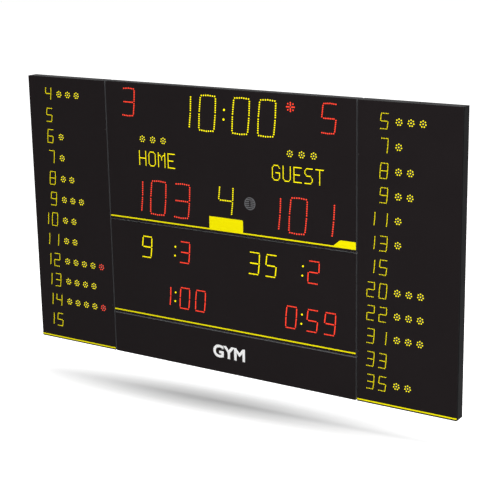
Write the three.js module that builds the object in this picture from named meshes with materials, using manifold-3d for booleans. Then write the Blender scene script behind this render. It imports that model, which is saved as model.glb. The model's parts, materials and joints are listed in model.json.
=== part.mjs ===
// Indoor electronic scoreboard for basketball: five flat aluminium cabinets side by side on three wall rails.
// Each cabinet is a ring of extruded rail with a back sheet and a black cover, pierced where light shows.
// Four of the covers are doors. A round bead along one edge of the cover turns in a C-groove in the
// cabinet's own rail, and two quarter-turn studs hold the other edge. The display boards ride on the covers.
// Millimetres, X to the right, Y into the wall, Z up. The origin is on the wall, mid upper rail.

import * as THREE from "three";
import { mergeVertices } from "three/addons/utils/BufferGeometryUtils.js";
import Module from "manifold-3d";

const wasm = await Module();
wasm.setup();

// Cabinets: their depth, how far they stand off the wall, and the gaps between them.
const cabinetDepth = 82;
const standoff = 18;
const cabinetGap = 12;
const signHeight = 280;

// Clearances: between seated pieces, round what passes through a hole, and past a face when something is cut.
const seatGap = 0.3;
const slotGap = 0.3;
const overrun = 1;

// Sheets and rails of a cabinet.
const coverSheet = 3;
const railWall = 2;
const lipWidth = 15;
const backSheet = 2;
const backRecess = 2;
const flangeClear = 5.5;
const flangeSheet = 1.5;
const flangeDepth = 15;

// The hinge seam: its axis' distance from the rail's face, its groove, and the bead and neck on the cover.
const hingeInset = 8;
const hingeClear = 1;
const beadRadius = 3;
const beadGap = 0.4;
const neckThickness = 2;
const grooveWall = 2;
const grooveHeel = 8;
const heelStep = 1.5;
const webThickness = 2.7;
const doorOpenDeg = 92;
const mouthOuterDeg = doorOpenDeg + 23;
const mouthInnerDeg = 25;
const webFootDeg = 60;

// Quarter-turn studs. Their spread is the distance between the two of one door.
const studInset = 6;
const studHead = 4;
const studHeadHeight = 1.5;
const studShank = 2.5;
const studGrip = 7;
const studTip = 1.6;
const studSlot = 0.9;
const lipHoleClear = 0.9;
const centreStudSpread = 1300;
const sideStudSpread = 1240;

// Display boards behind the covers, each with the plug of its lead.
const boardThickness = 8;
const boardMargin = 4;
const plugWidth = 46;
const plugHeight = 14;
const plugDepth = 6;

// Digits: height between the middle lines of the top and bottom bars, and the width of a lit stroke.
const clockDigit = 232;
const clockStroke = 12;
const foulDigit = 185;
const foulStroke = 11;
const periodDigit = 203;
const penaltyDigit = 144;
const penaltyStroke = 9;
const playerDigit = 92;
const playerStroke = 6;
const colonRadius = 8;
const smallColonRadius = 7;
const colonHalf = 31;
const lampRadius = 26;
const slantTan = Math.tan(THREE.MathUtils.degToRad(5));

// Shares of a digit's height for its cell and its strokes' middle lines. It swells a little at the waist.
const cellHalfShare = 0.4;
const barHalfShare = 0.226;
const shoulderHalfShare = 0.256;
const waistHalfShare = 0.269;
const shoulderHeightShare = 0.418;
const waistHeightShare = 0.042;
const archShare = 0.018;

// Shares of a stroke's width for how far it runs on, and how far the middle bar stays off the waist.
const strokeEndShare = 0.375;
const middleBarBack = 1.25;

// Top cabinet, from its top edge down: fouls, clock, time-outs, names and scores, then the stripe's margin.
const foulMargin = 31;
const clockMargin = 38;
const timeoutMargin = 60;
const nameMargin = 45;
const scoreMargin = 81;
const scoreFoot = 56;
const nameWidth = 512;
const nameHeight = 116;
const starMargin = 43;
const starRadius = 34;
const starArms = 8;
const starArmHalf = 5.6;
const starWaist = starArmHalf / Math.tan(Math.PI / starArms);
const periodRise = 41;

// Top cabinet, from its middle outwards.
const clockColonGap = 72.4;
const clockDigitGap = 9.4;
const starGap = 47.2;
const foulGap = 164;
const foulSide = 114;
const hornGap = 68.5;
const scoreInset = 25.3;
const scoreDigitGap = 8.8;
const timeoutShift = 30;
const timeoutLampGap = 34;

// The horn and its grille, whose slots lie in rows either side of a middle bar.
const hornRadius = 41.5;
const hornThroat = 37;
const hornDepth = 38;
const grilleSheet = 1.5;
const grilleBar = 9;
const grilleSlotHeight = 4.4;
const grilleSlotWidth = 9;
const grilleSlotGap = 5;
const grilleRowGap = 6.2;
const grilleRows = [1, 2, 2, 2, 2, 1];

// Middle cabinet: two rows of digits, and in each row the gaps from one to the next.
const penaltyMargin = 82.5;
const penaltyRowGap = 166;
const penaltyFoot = 101.5;
const homeSide = 116.4;
const guestSide = 126.4;
const shirtDigitGap = 13.8;
const tallyGap = 178.4;
const tallyColonGap = 21.9;
const timerShift = 10;
const timerColonGap = 20.9;
const timerDigitGap = 13.3;

// Side cabinets: twelve rows, each with a player's digits and five lamps.
const playerRows = 12;
const playerLamps = 5;
const playerMargin = 70.3;
const playerFoot = 98;
const playerSide = 55.2;
const playerDigitGap = 10.4;
const playerLampInset = 30.7;
const playerLampGap = 25.7;
const lampSide = 65.7;

// Yellow stripes, and the tab and the flag that stand on the top one.
const stripeSheet = 0.8;
const stripeHeight = 14;
const centreStripeRise = 11;
const sideStripeRise = 6;
const tabWidth = 264;
const tabHeight = 78;
const tabCorner = 10;
const flagWidth = 154;
const flagRise = 36;
const flagSlant = 44;

// Wall rails and the hooks on the cabinets' backs.
const railDrop = 150;
const railInset = 100;
const wallRailHalf = 30;
const wallRailSheet = 3;
const wallRailLip = 12;
const boltHole = 4.5;
const boltInset = 50;
const boltsPerRail = 6;
const hookSheet = 3;
const hookGap = 1.2;
const hookLift = 1.3;
const hookLength = 200;
const sideHookLength = 420;
const centreHookSpread = 1200;

// What is fixed inside the cabinets.
const supplyWidth = 240;
const supplyHeight = 120;
const supplyDepth = 45;
const supplyOffset = 250;
const supplyVents = 7;
const supplyVentWidth = 4;
const supplyVentGap = 10;
const supplyVentDepth = 3;
const controlWidth = 200;
const controlHeight = 150;
const controlSheet = 2;
const controlStandoff = 8;
const controlPost = 4;
const controlPostInset = 8;
const chipHeight = 4;
const radioWidth = 90;
const radioHeight = 62;
const radioDepth = 26;
const antennaRadius = 4;
const antennaLength = 95;
const terminalWidth = 130;
const terminalHeight = 90;
const terminalDepth = 40;
const terminalLid = 4;
const terminalLidMargin = 5;
const terminalInset = 45;
const glandRadius = 12.5;
const glandRim = 2.5;
const glandNutHeight = 8;
const glandDome = 10;
const glandRise = 330;
const linkRadius = 12;
const linkBore = 9;
const linkRim = 4;
const linkNutHeight = 4;
const linkDrop = 330;
const linkShift = 700;
const linkClear = 5.7;
const roundSides = 12;
const smallSides = 8;
const lampSides = 7;
const postSides = 6;
const lipHoleSides = 7;

// What the displays show, as a board waiting for a game's last minutes would.
const clockShows = "1000";
const homeFouls = "3";
const guestFouls = "5";
const homeScore = "103";
const guestScore = "101";
const periodShows = "4";
const homePenalty = { shirt: " 9", tally: "3", timer: "100" };
const guestPenalty = { shirt: "35", tally: "2", timer: "059" };
const homePlayers = [
  [" 4", 3], [" 5", 0], [" 6", 1], [" 7", 1], [" 8", 2], [" 9", 3],
  ["10", 2], ["11", 2], ["12", 5], ["13", 4], ["14", 5], ["15", 0],
];
const guestPlayers = [
  [" 5", 3], [" 7", 1], [" 8", 2], [" 9", 2], ["11", 1], ["13", 1],
  ["15", 0], ["20", 3], ["22", 3], ["31", 3], ["33", 0], ["35", 2],
];

// The lit strokes of the ten digits in order: a top, b and c right, d bottom, e and f left, g middle.
const litStrokes = [
  "abcdef", "bc", "abdeg", "abcdg", "bcfg",
  "acdfg", "acdefg", "abc", "abcdefg", "abcdfg",
];

// Worked-out planes. Y runs from the wall at zero out to the front of the covers.
const frontY = -(standoff + cabinetDepth);
const backY = -standoff;
const boardTop = railDrop;
const lipFront = coverSheet + seatGap;
const backLip = cabinetDepth - backRecess - backSheet - seatGap - railWall;
const hingeDepth = coverSheet + hingeInset + hingeClear;
const grooveRadius = beadRadius + beadGap;
const grooveOuter = grooveRadius + grooveWall;
const webInner = hingeInset + grooveOuter * Math.sin(THREE.MathUtils.degToRad(webFootDeg));
const flangeInset = lipWidth + flangeClear;
const insideBack = cabinetDepth - backRecess - backSheet - seatGap;
const linkDepth = insideBack - linkRadius - linkRim - linkClear;
const studHole = studShank + slotGap;
const lipHole = studShank + lipHoleClear;

// Worked-out layout. Drops are measured down from a cabinet's top edge, offsets from its middle.
const cellHalf = (digit) => digit * cellHalfShare;
const cell = (digit) => 2 * cellHalf(digit);
const litHeight = (digit, stroke) => digit + stroke;
const clockHeight = litHeight(clockDigit, clockStroke);
const foulHeight = litHeight(foulDigit, foulStroke);
const penaltyHeight = litHeight(penaltyDigit, penaltyStroke);

const clockDrop = clockMargin + clockHeight / 2;
const foulDrop = foulMargin + foulHeight / 2;
const starDrop = starMargin + starRadius;
const timeoutDrop = clockMargin + clockHeight + timeoutMargin + lampRadius;
const nameDrop = timeoutDrop + lampRadius + nameMargin + nameHeight / 2;
const scoreDrop = nameDrop + nameHeight / 2 + scoreMargin + clockHeight / 2;
const periodDrop = scoreDrop - periodRise;
const topHeight = scoreDrop + clockHeight / 2 + scoreFoot;

const clockInner = (cell(clockDigit) + clockColonGap) / 2;
const clockPitch = cell(clockDigit) + clockDigitGap;
const scorePitch = cell(clockDigit) + scoreDigitGap;
const starOffset = clockInner + clockPitch + cellHalf(clockDigit) + starGap + starRadius;
const foulOffset = starOffset + starRadius + foulGap + cellHalf(foulDigit);
const centreWidth = 2 * (foulOffset + cellHalf(foulDigit) + foulSide);
const hornOffset = cellHalf(foulDigit) + hornGap + boardMargin + hornRadius;
const scoreReach = scorePitch + cellHalf(clockDigit);
const sideOffset = hornOffset + hornRadius + boardMargin + scoreInset + scoreReach;
const timeoutOffset = sideOffset + timeoutShift;
const timeoutPitch = 2 * lampRadius + timeoutLampGap;

const shirtDrop = penaltyMargin + penaltyHeight / 2;
const timerDrop = shirtDrop + penaltyHeight + penaltyRowGap;
const middleHeight = timerDrop + penaltyHeight / 2 + penaltyFoot;
const shirtPitch = cell(penaltyDigit) + shirtDigitGap;
const shirtOffset = centreWidth / 2 - homeSide - cellHalf(penaltyDigit) - shirtPitch;
const shirtColonOffset = shirtOffset - cellHalf(penaltyDigit) - tallyGap;
const tallyOffset = shirtColonOffset - tallyColonGap - cellHalf(penaltyDigit);
const timerColonOffset = shirtColonOffset + timerShift;
const timerSpacing = cellHalf(penaltyDigit) + timerColonGap;
const timerPitch = cell(penaltyDigit) + timerDigitGap;
const timerLastOffset = timerColonOffset - timerSpacing - timerPitch;
const guestShift = centreWidth / 2 - guestSide - cellHalf(penaltyDigit) + timerLastOffset;

const boardHeight = topHeight + middleHeight + signHeight + 2 * cabinetGap;
const playerTens = playerSide + cellHalf(playerDigit);
const playerUnits = playerTens + cell(playerDigit) + playerDigitGap;
const lampPitch = 2 * lampRadius + playerLampGap;
const lampStart = playerUnits + cellHalf(playerDigit) + playerLampInset + boardMargin + lampRadius;
const lampEnd = lampStart + (playerLamps - 1) * lampPitch;
const sideWidth = lampEnd + lampRadius + boardMargin + lampSide;
const playerDrop = playerMargin + playerDigit / 2;
const playerPitch = (boardHeight - playerDrop - playerDigit / 2 - playerFoot) / (playerRows - 1);
const boardWidth = centreWidth + 2 * (sideWidth + cabinetGap);

const finishes = {
  coverBlack: { color: 0x231f20, roughness: 0.55, metalness: 0.1 },
  railGrey: { color: 0x3a3b3c, roughness: 0.45, metalness: 0.6 },
  backGrey: { color: 0x6b6d70, roughness: 0.5, metalness: 0.7 },
  ledYellow: { color: 0xf2e500, roughness: 0.4, metalness: 0 },
  ledRed: { color: 0xff4832, roughness: 0.4, metalness: 0 },
  stripeYellow: { color: 0xfff200, roughness: 0.5, metalness: 0 },
  grilleGrey: { color: 0x6e6e70, roughness: 0.5, metalness: 0.5 },
  steel: { color: 0x8c9094, roughness: 0.35, metalness: 0.9 },
  boardGreen: { color: 0x1f5a38, roughness: 0.5, metalness: 0 },
  boxGrey: { color: 0xb9bbb8, roughness: 0.6, metalness: 0 },
  plasticBlack: { color: 0x18191b, roughness: 0.5, metalness: 0 },
};

const scoreboard = new THREE.Group();
scoreboard.name = "scoreboard";

// A closed geometry whose faces point out, whichever way its makers wound it.
function facingOut(geometry) {
  const plain = new THREE.BufferGeometry();
  plain.setAttribute("position", geometry.getAttribute("position"));
  if (geometry.index) plain.setIndex(geometry.index);
  const merged = mergeVertices(plain, seatGap / 1000);
  const places = merged.getAttribute("position").array;
  const all = merged.index.array;
  const index = [];
  for (let i = 0; i < all.length; i += 3) {
    const [a, b, c] = all.subarray(i, i + 3);
    if (a !== b && b !== c && c !== a) index.push(a, b, c);
  }
  const corner = (i) => new THREE.Vector3().fromArray(places, 3 * index[i]);
  let volume = 0;
  for (let i = 0; i < index.length; i += 3) {
    volume += corner(i).dot(corner(i + 1).cross(corner(i + 2)));
  }
  if (volume < 0) {
    for (let i = 0; i < index.length; i += 3) {
      const kept = index[i];
      index[i] = index[i + 1];
      index[i + 1] = kept;
    }
  }
  merged.setIndex(index);
  return merged;
}

function solidOf(geometry) {
  const closed = facingOut(geometry);
  const mesh = new wasm.Mesh({
    numProp: 3,
    vertProperties: Float32Array.from(closed.getAttribute("position").array),
    triVerts: Uint32Array.from(closed.index.array),
  });
  return new wasm.Manifold(mesh);
}

function geometryOf(solid) {
  const mesh = solid.getMesh();
  const geometry = new THREE.BufferGeometry();
  geometry.setAttribute("position", new THREE.BufferAttribute(mesh.vertProperties, 3));
  geometry.setIndex(new THREE.BufferAttribute(mesh.triVerts, 1));
  return geometry;
}

function joined(pieces) {
  return pieces.reduce((whole, piece) => whole.add(piece));
}

function without(solid, cuts) {
  return cuts.reduce((whole, cut) => whole.subtract(cut), solid);
}

function place(name, solid, finish) {
  const geometry = geometryOf(solid);
  geometry.computeVertexNormals();
  const mesh = new THREE.Mesh(geometry, new THREE.MeshStandardMaterial(finishes[finish]));
  mesh.name = name;
  scoreboard.add(mesh);
}

// An extrusion whose points are carried from the drawing plane into the board by a rule of its own.
function extruded(shapes, length, carry, curveSegments = smallSides) {
  const geometry = new THREE.ExtrudeGeometry(shapes, { depth: length, bevelEnabled: false, curveSegments });
  const places = geometry.getAttribute("position");
  const point = new THREE.Vector3();
  for (let i = 0; i < places.count; i += 1) {
    point.fromBufferAttribute(places, i);
    places.setXYZ(i, ...carry(point.x, point.y, point.z));
  }
  return solidOf(geometry);
}

// A flat piece drawn as seen from the front, from one depth behind the front plane to another.
function flat(shapes, fromDepth, toDepth, curveSegments = smallSides) {
  return extruded(shapes, toDepth - fromDepth, (x, z, t) => [x, frontY + fromDepth + t, z], curveSegments);
}

function outline(points) {
  return new THREE.Shape(points.map(([x, y]) => new THREE.Vector2(x, y)));
}

function rectangle(left, right, bottom, top) {
  return outline([[left, bottom], [right, bottom], [right, top], [left, top]]);
}

function block(left, right, bottom, top, fromDepth, toDepth) {
  return flat(rectangle(left, right, bottom, top), fromDepth, toDepth);
}

function polygonPoints(x, z, radius, sides, startDeg = 90) {
  const start = THREE.MathUtils.degToRad(startDeg);
  return Array.from({ length: sides }, (_, i) => {
    const angle = start + (2 * Math.PI * i) / sides;
    return [x + radius * Math.cos(angle), z + radius * Math.sin(angle)];
  });
}

// A turned piece: pairs of radius and distance along its axis, closed by themselves or on the axis.
function turned(profile, sides, carry) {
  const geometry = new THREE.LatheGeometry(profile.map(([r, d]) => new THREE.Vector2(r, d)), sides);
  const places = geometry.getAttribute("position");
  const point = new THREE.Vector3();
  for (let i = 0; i < places.count; i += 1) {
    point.fromBufferAttribute(places, i);
    places.setXYZ(i, ...carry(point.x, point.z, point.y));
  }
  return solidOf(geometry);
}

// The five cabinets, each with the edges of its front and the edge that its cover hinges on.
const centreLeft = -centreWidth / 2;
const middleTop = boardTop - topHeight - cabinetGap;
const signTop = middleTop - middleHeight - cabinetGap;
const cabinets = {
  left: { x: -boardWidth / 2, top: boardTop, width: sideWidth, height: boardHeight, hinge: "left" },
  right: {
    x: boardWidth / 2 - sideWidth,
    top: boardTop,
    width: sideWidth,
    height: boardHeight,
    hinge: "right",
  },
  top: { x: centreLeft, top: boardTop, width: centreWidth, height: topHeight, hinge: "top" },
  middle: { x: centreLeft, top: middleTop, width: centreWidth, height: middleHeight, hinge: "top" },
  sign: { x: centreLeft, top: signTop, width: centreWidth, height: signHeight, hinge: null },
};
for (const cabinet of Object.values(cabinets)) {
  cabinet.right = cabinet.x + cabinet.width;
  cabinet.bottom = cabinet.top - cabinet.height;
}

// A piece along a cabinet's hinge edge: drawn as distance in from the rail's face and depth from the front.
function alongHinge(cabinet, shape, fromEnd, toEnd) {
  const length = (cabinet.hinge === "top" ? cabinet.width : cabinet.height) - fromEnd - toEnd;
  const carries = {
    top: (u, v, t) => [cabinet.x + fromEnd + t, frontY + v, cabinet.top - u],
    left: (u, v, t) => [cabinet.x + u, frontY + v, cabinet.bottom + fromEnd + t],
    right: (u, v, t) => [cabinet.right - u, frontY + v, cabinet.bottom + fromEnd + t],
  };
  return extruded(shape, length, carries[cabinet.hinge]);
}

// A point on a circle round the hinge axis: 0 looks forward, 90 out of the rail's face, 180 to the wall.
function hingePoint(radius, degrees) {
  const angle = THREE.MathUtils.degToRad(degrees);
  return [hingeInset - radius * Math.sin(angle), hingeDepth - radius * Math.cos(angle)];
}

function hingeArc(radius, fromDeg, toDeg, steps) {
  const step = (toDeg - fromDeg) / steps;
  return Array.from({ length: steps + 1 }, (_, i) => hingePoint(radius, fromDeg + step * i));
}

// The rail's own hinge profile: outer wall, C-groove round the bead, and the web with the landing lip.
function grooveProfile() {
  const mouth = THREE.MathUtils.degToRad(mouthOuterDeg);
  const faceDepth = hingeDepth - (hingeInset * Math.cos(mouth)) / Math.sin(mouth);
  const heel = hingeDepth + grooveOuter + grooveHeel;
  const webOuter = webInner - webThickness;
  const inner = THREE.MathUtils.degToRad(mouthInnerDeg);
  const webFoot = hingeDepth - ((webOuter - hingeInset) * Math.cos(inner)) / Math.sin(inner);
  return outline([
    [0, faceDepth],
    [0, heel],
    [railWall, heel],
    [railWall, hingeDepth + grooveOuter + heelStep],
    ...hingeArc(grooveOuter, 180 - webFootDeg / 2, 360 - webFootDeg, 8),
    [webInner, lipFront + railWall],
    [webInner + railWall, lipFront + railWall],
    [webInner + railWall, lipFront],
    [webOuter, lipFront],
    [webOuter, webFoot],
    ...hingeArc(grooveRadius, 360 - mouthInnerDeg, mouthOuterDeg, 10),
  ]);
}

// The corner in front of the hinge that is rounded off about its axis, so that the open cover passes over it.
function roundOver() {
  return outline([
    [-overrun, -overrun],
    [hingeInset, -overrun],
    ...hingeArc(hingeInset, 0, 90, 5),
    [-overrun, hingeDepth],
  ]);
}

// A mitred ring of extruded rail: outer wall, landing lip for the cover, seat for the back sheet behind.
function railRing(cabinet) {
  const profile = [
    [0, lipFront],
    [0, cabinetDepth],
    [railWall, cabinetDepth],
    [railWall, backLip + railWall],
    [lipWidth, backLip + railWall],
    [lipWidth, backLip],
    [railWall, backLip],
    [railWall, lipFront + railWall],
    [lipWidth, lipFront + railWall],
    [lipWidth, lipFront],
  ];
  const corners = [
    (u) => [cabinet.x + u, cabinet.top - u],
    (u) => [cabinet.right - u, cabinet.top - u],
    (u) => [cabinet.right - u, cabinet.bottom + u],
    (u) => [cabinet.x + u, cabinet.bottom + u],
  ];
  const places = [];
  for (const corner of corners) {
    for (const [u, v] of profile) {
      const [x, z] = corner(u);
      places.push(x, frontY + v, z);
    }
  }
  const index = [];
  const count = profile.length;
  for (let side = 0; side < corners.length; side += 1) {
    const next = (side + 1) % corners.length;
    for (let i = 0; i < count; i += 1) {
      const j = (i + 1) % count;
      const a = side * count + i;
      const b = side * count + j;
      const c = next * count + j;
      const d = next * count + i;
      index.push(a, b, c, a, c, d);
    }
  }
  const geometry = new THREE.BufferGeometry();
  geometry.setAttribute("position", new THREE.Float32BufferAttribute(places, 3));
  geometry.setIndex(index);
  return solidOf(geometry);
}

// A straight pass through a cabinet wall, along X or Z, with its middle at a given height or shift.
function pass(axis, from, to, across, radius) {
  const ring = outline(polygonPoints(0, 0, radius, smallSides));
  const depth = frontY + linkDepth;
  const carries = {
    x: (a, b, t) => [from + t, depth + a, across + b],
    z: (a, b, t) => [across + a, depth + b, from + t],
  };
  return extruded(ring, to - from, carries[axis]);
}

// Studs sit on the rail opposite the hinge. Their places are given along the front.
function studPlaces(cabinet) {
  if (cabinet.hinge === "top") {
    return [-1, 1].map((side) => [(side * centreStudSpread) / 2, cabinet.bottom + studInset]);
  }
  const x = cabinet.hinge === "left" ? cabinet.right - studInset : cabinet.x + studInset;
  const middle = (cabinet.top + cabinet.bottom) / 2;
  return [1, -1].map((side) => [x, middle + (side * sideStudSpread) / 2]);
}

function casing(cabinet, passes) {
  let solid = railRing(cabinet);
  if (cabinet.hinge) {
    const heel = hingeDepth + grooveOuter + grooveHeel - railWall;
    const zone = rectangle(-overrun, webInner + overrun / 2, -overrun, heel);
    solid = without(solid, [
      alongHinge(cabinet, roundOver(), -overrun, -overrun),
      alongHinge(cabinet, zone, railWall, railWall),
    ]);
    const groove = alongHinge(cabinet, grooveProfile(), railWall / 2, railWall / 2);
    const ends = alongHinge(cabinet, roundOver(), -overrun, -overrun);
    solid = solid.add(groove).subtract(ends);
  }
  const studs = cabinet.hinge ? studPlaces(cabinet) : [];
  const rings = studs.map(([x, z]) => outline(polygonPoints(x, z, lipHole, lipHoleSides)));
  const holes = rings.map((ring) => flat(ring, 0, flangeDepth));
  return without(solid, [...holes, ...passes]);
}

const linkLevel = boardTop - linkDrop;
const gapLeft = [cabinets.left.right, cabinets.top.x];
const gapRight = [cabinets.top.right, cabinets.right.x];
const gapMiddle = [cabinets.middle.top, cabinets.top.bottom];
const reach = railWall + overrun;
const linkHole = linkRadius + slotGap;
const leftLinkPass = pass("x", gapLeft[0] - reach, gapLeft[1] + reach, linkLevel, linkHole);
const rightLinkPass = pass("x", gapRight[0] - reach, gapRight[1] + reach, linkLevel, linkHole);
const middleLinkPass = pass("z", gapMiddle[0] - reach, gapMiddle[1] + reach, linkShift, linkHole);
const glandLevel = cabinets.left.bottom + glandRise;
const glandHole = glandRadius + slotGap;
const glandPass = pass("x", cabinets.left.x - overrun, cabinets.left.x + reach, glandLevel, glandHole);

place("left_casing", casing(cabinets.left, [leftLinkPass, glandPass]), "railGrey");
place("right_casing", casing(cabinets.right, [rightLinkPass]), "railGrey");
place("top_casing", casing(cabinets.top, [leftLinkPass, rightLinkPass, middleLinkPass]), "railGrey");
place("middle_casing", casing(cabinets.middle, [middleLinkPass]), "railGrey");
place("sign_casing", casing(cabinets.sign, []), "railGrey");

// Three wall rails. Each has an upright lip in front that the cabinets' hooks drop over.
const railLevels = {
  upper: boardTop - railDrop,
  middle: cabinets.middle.top - railDrop,
  lower: cabinets.sign.top - railDrop,
};

function alongX(shape, from, to) {
  return extruded(shape, to - from, (y, z, t) => [from + t, y, z]);
}

function wallRail(level) {
  const reachY = backY + seatGap;
  const front = reachY + wallRailSheet;
  const section = outline([
    [0, level - wallRailHalf],
    [0, level + wallRailHalf],
    [front, level + wallRailHalf],
    [front, level + wallRailHalf + wallRailLip],
    [reachY, level + wallRailHalf + wallRailLip],
    [reachY, level + wallRailHalf - wallRailSheet],
    [-wallRailSheet, level + wallRailHalf - wallRailSheet],
    [-wallRailSheet, level - wallRailHalf + wallRailSheet],
    [reachY, level - wallRailHalf + wallRailSheet],
    [reachY, level - wallRailHalf],
  ]);
  const half = boardWidth / 2 - railInset;
  const rail = alongX(section, -half, half);
  const boltSpacing = (2 * (half - boltInset)) / (boltsPerRail - 1);
  const holes = Array.from({ length: boltsPerRail }, (_, i) => {
    const x = (i - (boltsPerRail - 1) / 2) * boltSpacing;
    const ring = outline(polygonPoints(x, level, boltHole, smallSides));
    return flat(ring, standoff + cabinetDepth - wallRailSheet - overrun, standoff + cabinetDepth + overrun);
  });
  return without(rail, holes);
}

for (const [name, level] of Object.entries(railLevels)) {
  place(name + "_wall_rail", wallRail(level), "steel");
}

// A back sheet seats in the ring from behind, with hooks that hang it on the wall rails.
function hook(level, middleX, length) {
  const top = level + wallRailHalf + wallRailLip + seatGap;
  const foot = level + wallRailHalf + hookLift;
  const sheetBack = frontY + cabinetDepth - backRecess;
  const lipBack = backY + seatGap + wallRailSheet;
  const legFront = lipBack + hookGap;
  const section = outline([
    [sheetBack - backSheet / 2, top],
    [legFront, top],
    [legFront, foot],
    [legFront + hookSheet, foot],
    [legFront + hookSheet, top + hookSheet],
    [sheetBack - backSheet / 2, top + hookSheet],
  ]);
  return alongX(section, middleX - length / 2, middleX + length / 2);
}

function back(cabinet, hooks) {
  const inset = railWall + seatGap;
  const from = cabinetDepth - backRecess - backSheet;
  const sheet = block(
    cabinet.x + inset,
    cabinet.right - inset,
    cabinet.bottom + inset,
    cabinet.top - inset,
    from,
    from + backSheet,
  );
  return joined([sheet, ...hooks]);
}

const sideHooks = (cabinet) =>
  Object.values(railLevels).map((level) => hook(level, (cabinet.x + cabinet.right) / 2, sideHookLength));
const centreHooks = (level) => [-1, 1].map((side) => hook(level, (side * centreHookSpread) / 2, hookLength));

place("left_back_sheet", back(cabinets.left, sideHooks(cabinets.left)), "backGrey");
place("right_back_sheet", back(cabinets.right, sideHooks(cabinets.right)), "backGrey");
place("top_back_sheet", back(cabinets.top, centreHooks(railLevels.upper)), "backGrey");
place("middle_back_sheet", back(cabinets.middle, centreHooks(railLevels.middle)), "backGrey");
place("sign_back_sheet", back(cabinets.sign, centreHooks(railLevels.lower)), "backGrey");

// A stroke's outline round its middle line, grown by the clearance that it needs.
function strokeOutline(line, stroke, grow) {
  const half = stroke / 2 + grow;
  const end = stroke * strokeEndShare + grow;
  const points = line.map(([x, y]) => new THREE.Vector2(x, y));
  const last = points.length - 1;
  const direction = (a, b) => b.clone().sub(a).normalize();
  const first = direction(points[0], points[1]);
  const final = direction(points[last - 1], points[last]);
  points[0].addScaledVector(first, -end);
  points[last].addScaledVector(final, end);
  const normals = points.map((_, i) => {
    const along = direction(points[Math.max(i - 1, 0)], points[Math.min(i + 1, last)]);
    return new THREE.Vector2(-along.y, along.x);
  });
  const left = points.map((p, i) => p.clone().addScaledVector(normals[i], half));
  const right = points.map((p, i) => p.clone().addScaledVector(normals[i], -half));
  return [...left, ...right.reverse()];
}

// The lit strokes of one digit, slanted to the right, about its middle.
function digitStrokes(shows, x, z, height, stroke, arched, grow) {
  const half = height / 2;
  const arch = arched ? height * archShare : 0;
  const bar = height * barHalfShare;
  const shoulder = height * shoulderHalfShare;
  const waist = height * waistHalfShare;
  const high = height * shoulderHeightShare;
  const low = height * waistHeightShare;
  const middleBar = waist - stroke * middleBarBack;
  const level = (side) => (arched
    ? [[-bar, side * (half - arch)], [0, side * half], [bar, side * (half - arch)]]
    : [[-bar, side * half], [bar, side * half]]);
  const lines = {
    a: level(1),
    b: [[shoulder, high], [waist, low]],
    c: [[waist, -low], [shoulder, -high]],
    d: level(-1),
    e: [[-waist, -low], [-shoulder, -high]],
    f: [[-shoulder, high], [-waist, low]],
    g: [[-middleBar, 0], [middleBar, 0]],
  };
  return [...(litStrokes[shows] ?? "")].map((letter) => {
    const line = lines[letter].map(([dx, dz]) => [x + dx + dz * slantTan, z + dz]);
    return strokeOutline(line, stroke, grow);
  });
}

// Displays collect the slots that their cover needs and the board that stands behind them.
const slots = { left: [], right: [], top: [], middle: [] };

function digits(cabinet, shows, xs, z, height, stroke, arched = false) {
  [...shows].forEach((digit, i) => {
    slots[cabinet].push(...digitStrokes(digit, xs[i], z, height, stroke, arched, slotGap));
  });
}

function round(cabinet, x, z, radius, sides) {
  slots[cabinet].push(polygonPoints(x, z, radius, sides).map(([px, pz]) => new THREE.Vector2(px, pz)));
}

// A display board is a flat housing behind the cover, with the plug of its lead on the back.
function displayBoard(name, shape, plugX, plugZ, finish) {
  const boardBack = lipFront + boardThickness;
  const plug = block(
    plugX - plugWidth / 2,
    plugX + plugWidth / 2,
    plugZ - plugHeight / 2,
    plugZ + plugHeight / 2,
    boardBack - overrun,
    boardBack + plugDepth,
  );
  place(name, flat(shape, lipFront, boardBack).add(plug), finish);
}

function digitBoard(name, xs, z, height, stroke, finish) {
  const reachX = cellHalf(height);
  const reachZ = litHeight(height, stroke) / 2 + boardMargin;
  const left = Math.min(...xs) - reachX;
  const right = Math.max(...xs) + reachX;
  displayBoard(name, rectangle(left, right, z - reachZ, z + reachZ), (left + right) / 2, z, finish);
}

function colon(cabinet, x, z, radius, half) {
  for (const side of [-1, 1]) {
    const level = z + side * half;
    round(cabinet, x + side * half * slantTan, level, radius, lampSides);
  }
}

// Top cabinet: clock, fouls, possession star, time-outs, names, scores and period.
const level = (drop) => boardTop - drop;
const clockXs = [-clockInner - clockPitch, -clockInner, clockInner, clockInner + clockPitch];
digits("top", clockShows, clockXs, level(clockDrop), clockDigit, clockStroke, true);
colon("top", 0, level(clockDrop), colonRadius, colonHalf);
digitBoard("clock_board", clockXs, level(clockDrop), clockDigit, clockStroke, "ledYellow");

for (const [side, name, shows] of [[-1, "home", homeFouls], [1, "guest", guestFouls]]) {
  digits("top", shows, [side * foulOffset], level(foulDrop), foulDigit, foulStroke, true);
  digitBoard(name + "_foul_board", [side * foulOffset], level(foulDrop), foulDigit, foulStroke, "ledRed");
}

// Each arm of the possession star is blunt and as wide as its LEDs need. The arms meet at the waist.
const starMiddle = new THREE.Vector2(starOffset, level(starDrop));
const star = Array.from({ length: starArms }, (_, i) => {
  const turn = -(2 * Math.PI * i) / starArms;
  const arm = [[-starArmHalf, starRadius], [starArmHalf, starRadius], [starArmHalf, starWaist]];
  return arm.map(([x, z]) => new THREE.Vector2(x, z).rotateAround(new THREE.Vector2(), turn).add(starMiddle));
});
slots.top.push(star.flat());
const starReach = starRadius + boardMargin;
displayBoard(
  "possession_board",
  rectangle(
    starOffset - starReach,
    starOffset + starReach,
    level(starDrop) - starReach,
    level(starDrop) + starReach,
  ),
  starOffset,
  level(starDrop),
  "ledRed",
);

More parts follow.
